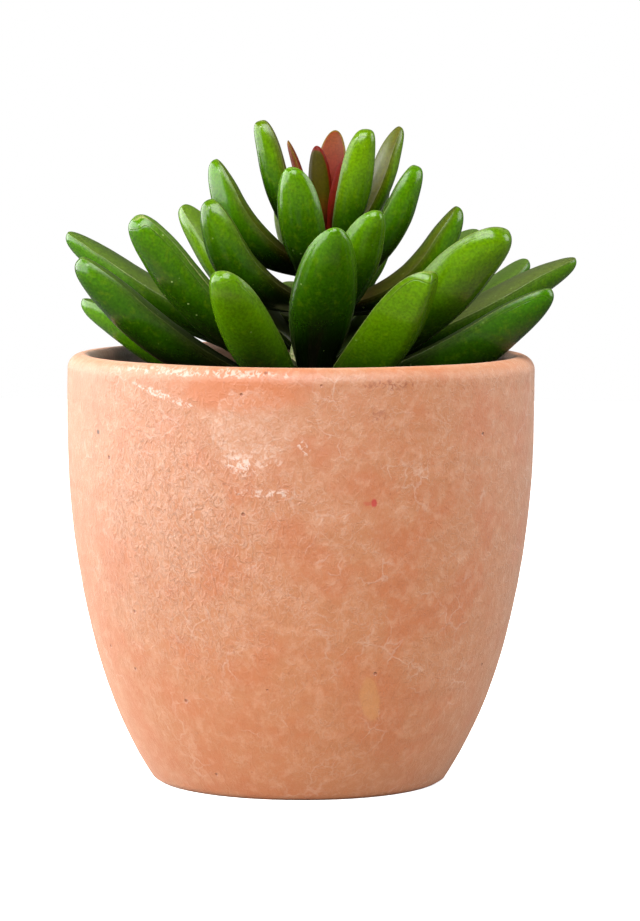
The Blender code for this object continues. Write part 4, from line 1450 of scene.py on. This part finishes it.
FLOOR_RADIUS = 1.0
FLOOR_SIDE_TURN = 5  # degrees of the floor's round that one straight side takes
FLOOR_FIBRE = 2 * MM
FLOOR_WHITENING = 0.8  # light added to the floor as the camera sees it, which leaves a faint shadow
NEAR_FLOOR = (130 * MM, 90 * MM)  # where the near bounce starts, and where it is full
GLOW_DEPTH = (-0.4, 0.6)  # how far back a direction points where the surroundings start and end brightening
GLOW = (0.03, 0.16)  # their strength in front and behind
CAMERA_PLACE = (3.76 * MM, -767 * MM, 130 * MM)
CAMERA_PITCH = 5.09  # degrees below level
CAMERA_ROLL = 0.3
FOCAL_LENGTH_PIXELS = 3980
IMAGE_HEIGHT_PIXELS = 921
SENSOR_WIDTH_MM = 36
LIGHT_TARGET = Vector((0, 0, 60 * MM))

# Light panels as place, width and height in metres
LIGHTS = {
    "key": ((-0.33, 0.0, 0.17), 0.7, 0.3),
    "window": ((-0.75, -0.85, 0.85), 0.3, 0.3),
    "fill": ((0.1, -1.3, 1.4), 1.6, 1.6),
    "edge": ((1.0, 0.2, 0.4), 0.6, 0.6),
}


def floor_card(stage):
    """Matte card that looks pale to the camera and throws back a dimmer light, warmer by the pot's foot."""
    material, tree, shader = new_material("floor_matte_card")
    spot = add(tree, "ShaderNodeTexCoord", out="Object")
    fibres = add(tree, NOISE, {"Vector": spot, "Scale": 1 / FLOOR_FIBRE, "Detail": 2})
    card = painted(tree, stage.floor, [(fibres, 0.04, linear("#E4E4E0"))])
    seen = add(tree, "ShaderNodeLightPath", out="Is Camera Ray")
    reach = add(tree, VECTOR, {0: spot}, out="Value", operation="LENGTH")
    by_foot = add(tree, RANGE, {0: reach, 1: NEAR_FLOOR[0], 2: NEAR_FLOOR[1]}, **SOFT)
    thrown = painted(tree, stage.bounce, [(by_foot, 1.0, stage.near_bounce), (seen, 1.0, card)])
    whitening = times(tree, seen, FLOOR_WHITENING)
    white = (1, 1, 1, 1)
    look = {"Base Color": thrown, "Emission Strength": whitening, "Emission Color": white, "Roughness": 0.9}
    fill(tree, shader, look)
    return material


def make_floor(stage):
    """A wide round card under the pot."""
    mesh = bpy.data.meshes.new("floor")
    rim = [FLOOR_RADIUS * heading(turn) for turn in range(0, 360, FLOOR_SIDE_TURN)]
    mesh.from_pydata(rim, [], [range(len(rim))])
    mesh.materials.append(floor_card(stage))
    new_object("floor", mesh)


def make_light(name, place, width, height, power):
    """A soft white panel of light that points at the plant."""
    lamp = bpy.data.lights.new(name, "AREA")
    lamp.shape = "RECTANGLE"
    lamp.size = width
    lamp.size_y = height
    lamp.energy = power
    light = bpy.data.objects.new(name, lamp)
    bpy.context.scene.collection.objects.link(light)
    light.location = place
    light.visible_camera = False
    light.rotation_euler = (LIGHT_TARGET - Vector(place)).to_track_quat("-Z", "Y").to_euler()


def make_world():
    """White surroundings to the camera, and a softer glow on the pot, mostly from behind."""
    world = bpy.data.worlds.new("studio")
    bpy.context.scene.world = world
    world.use_nodes = True
    tree = world.node_tree
    tree.nodes.clear()
    way = add(tree, "ShaderNodeTexCoord", out="Generated")
    depth = add(tree, SPLIT, {0: way}, out=1)
    strength = {0: depth, 1: GLOW_DEPTH[0], 2: GLOW_DEPTH[1], 3: GLOW[0], 4: GLOW[1]}
    behind = add(tree, RANGE, strength, **SOFT)
    glow = add(tree, "ShaderNodeBackground", {"Color": (1, 1, 1, 1), "Strength": behind})
    white = add(tree, "ShaderNodeBackground", {"Color": (1, 1, 1, 1), "Strength": 1.0})
    seen = add(tree, "ShaderNodeLightPath", out="Is Camera Ray")
    both = add(tree, "ShaderNodeMixShader", {0: seen, 1: glow, 2: white})
    tree.links.new(both, tree.nodes.new("ShaderNodeOutputWorld").inputs["Surface"])


def make_camera():
    """The photograph's camera, a little above the pot's lip."""
    camera = bpy.data.objects.new("camera", bpy.data.cameras.new("camera"))
    bpy.context.scene.collection.objects.link(camera)
    camera.data.sensor_width = SENSOR_WIDTH_MM
    camera.data.lens = FOCAL_LENGTH_PIXELS / IMAGE_HEIGHT_PIXELS * SENSOR_WIDTH_MM
    camera.matrix_world = (
        Matrix.Translation(CAMERA_PLACE)
        @ Matrix.Rotation(math.radians(90 - CAMERA_PITCH), 4, "X")
        @ Matrix.Rotation(math.radians(CAMERA_ROLL), 4, "Z")
    )
    bpy.context.scene.camera = camera


class SUCCULENT_OT_stage(bpy.types.Operator):
    """Set the floor, the soft lights and the camera"""

    bl_idname = "succulent.stage"
    bl_label = "Stage"

    def execute(self, context):
        stage = context.scene.succulent_stage
        context.scene.view_settings.view_transform = "Standard"
        make_floor(stage)
        make_world()
        for name, (place, width, height) in LIGHTS.items():
            make_light(name, place, width, height, getattr(stage, f"{name}_power"))
        make_camera()
        return {"FINISHED"}


class SUCCULENT_PT_panel(bpy.types.Panel):
    """Sizes, colours and pieces of the potted succulent"""

    bl_idname = "SUCCULENT_PT_panel"
    bl_label = "Potted succulent"
    bl_space_type = "VIEW_3D"
    bl_region_type = "UI"
    bl_category = "Succulent"

    def draw(self, context):
        for operator, settings in PIECES:
            box = self.layout.box()
            box.operator(f"succulent.{operator}")
            group = getattr(context.scene, f"succulent_{settings}")
            for name in group.__annotations__:
                box.prop(group, name)


SETTINGS = {
    "pot": PotSettings,
    "soil": SoilSettings,
    "stem": StemSettings,
    "leaf": LeafSettings,
    "heart": HeartSettings,
    "stage": StageSettings,
}
PIECES = (
    ("stage", "stage"),
    ("pot", "pot"),
    ("soil", "soil"),
    ("stem", "stem"),
    ("leaves", "leaf"),
    ("heart", "heart"),
)
CLASSES = (
    *SETTINGS.values(),
    SUCCULENT_OT_stage,
    SUCCULENT_OT_pot,
    SUCCULENT_OT_soil,
    SUCCULENT_OT_stem,
    SUCCULENT_OT_leaves,
    SUCCULENT_OT_heart,
    SUCCULENT_PT_panel,
)


def register():
    """Add the classes and the scene's settings."""
    for entry in CLASSES:
        bpy.utils.register_class(entry)
    for name, group in SETTINGS.items():
        setattr(bpy.types.Scene, f"succulent_{name}", bpy.props.PointerProperty(type=group))


def unregister():
    """Take the scene's settings and the classes away again."""
    for name in SETTINGS:
        delattr(bpy.types.Scene, f"succulent_{name}")
    for entry in reversed(CLASSES):
        bpy.utils.unregister_class(entry)


def main():
    """Build every piece in order."""
    register()
    for operator, _ in PIECES:
        getattr(bpy.ops.succulent, operator)()


if __name__ == "__main__":
    main()
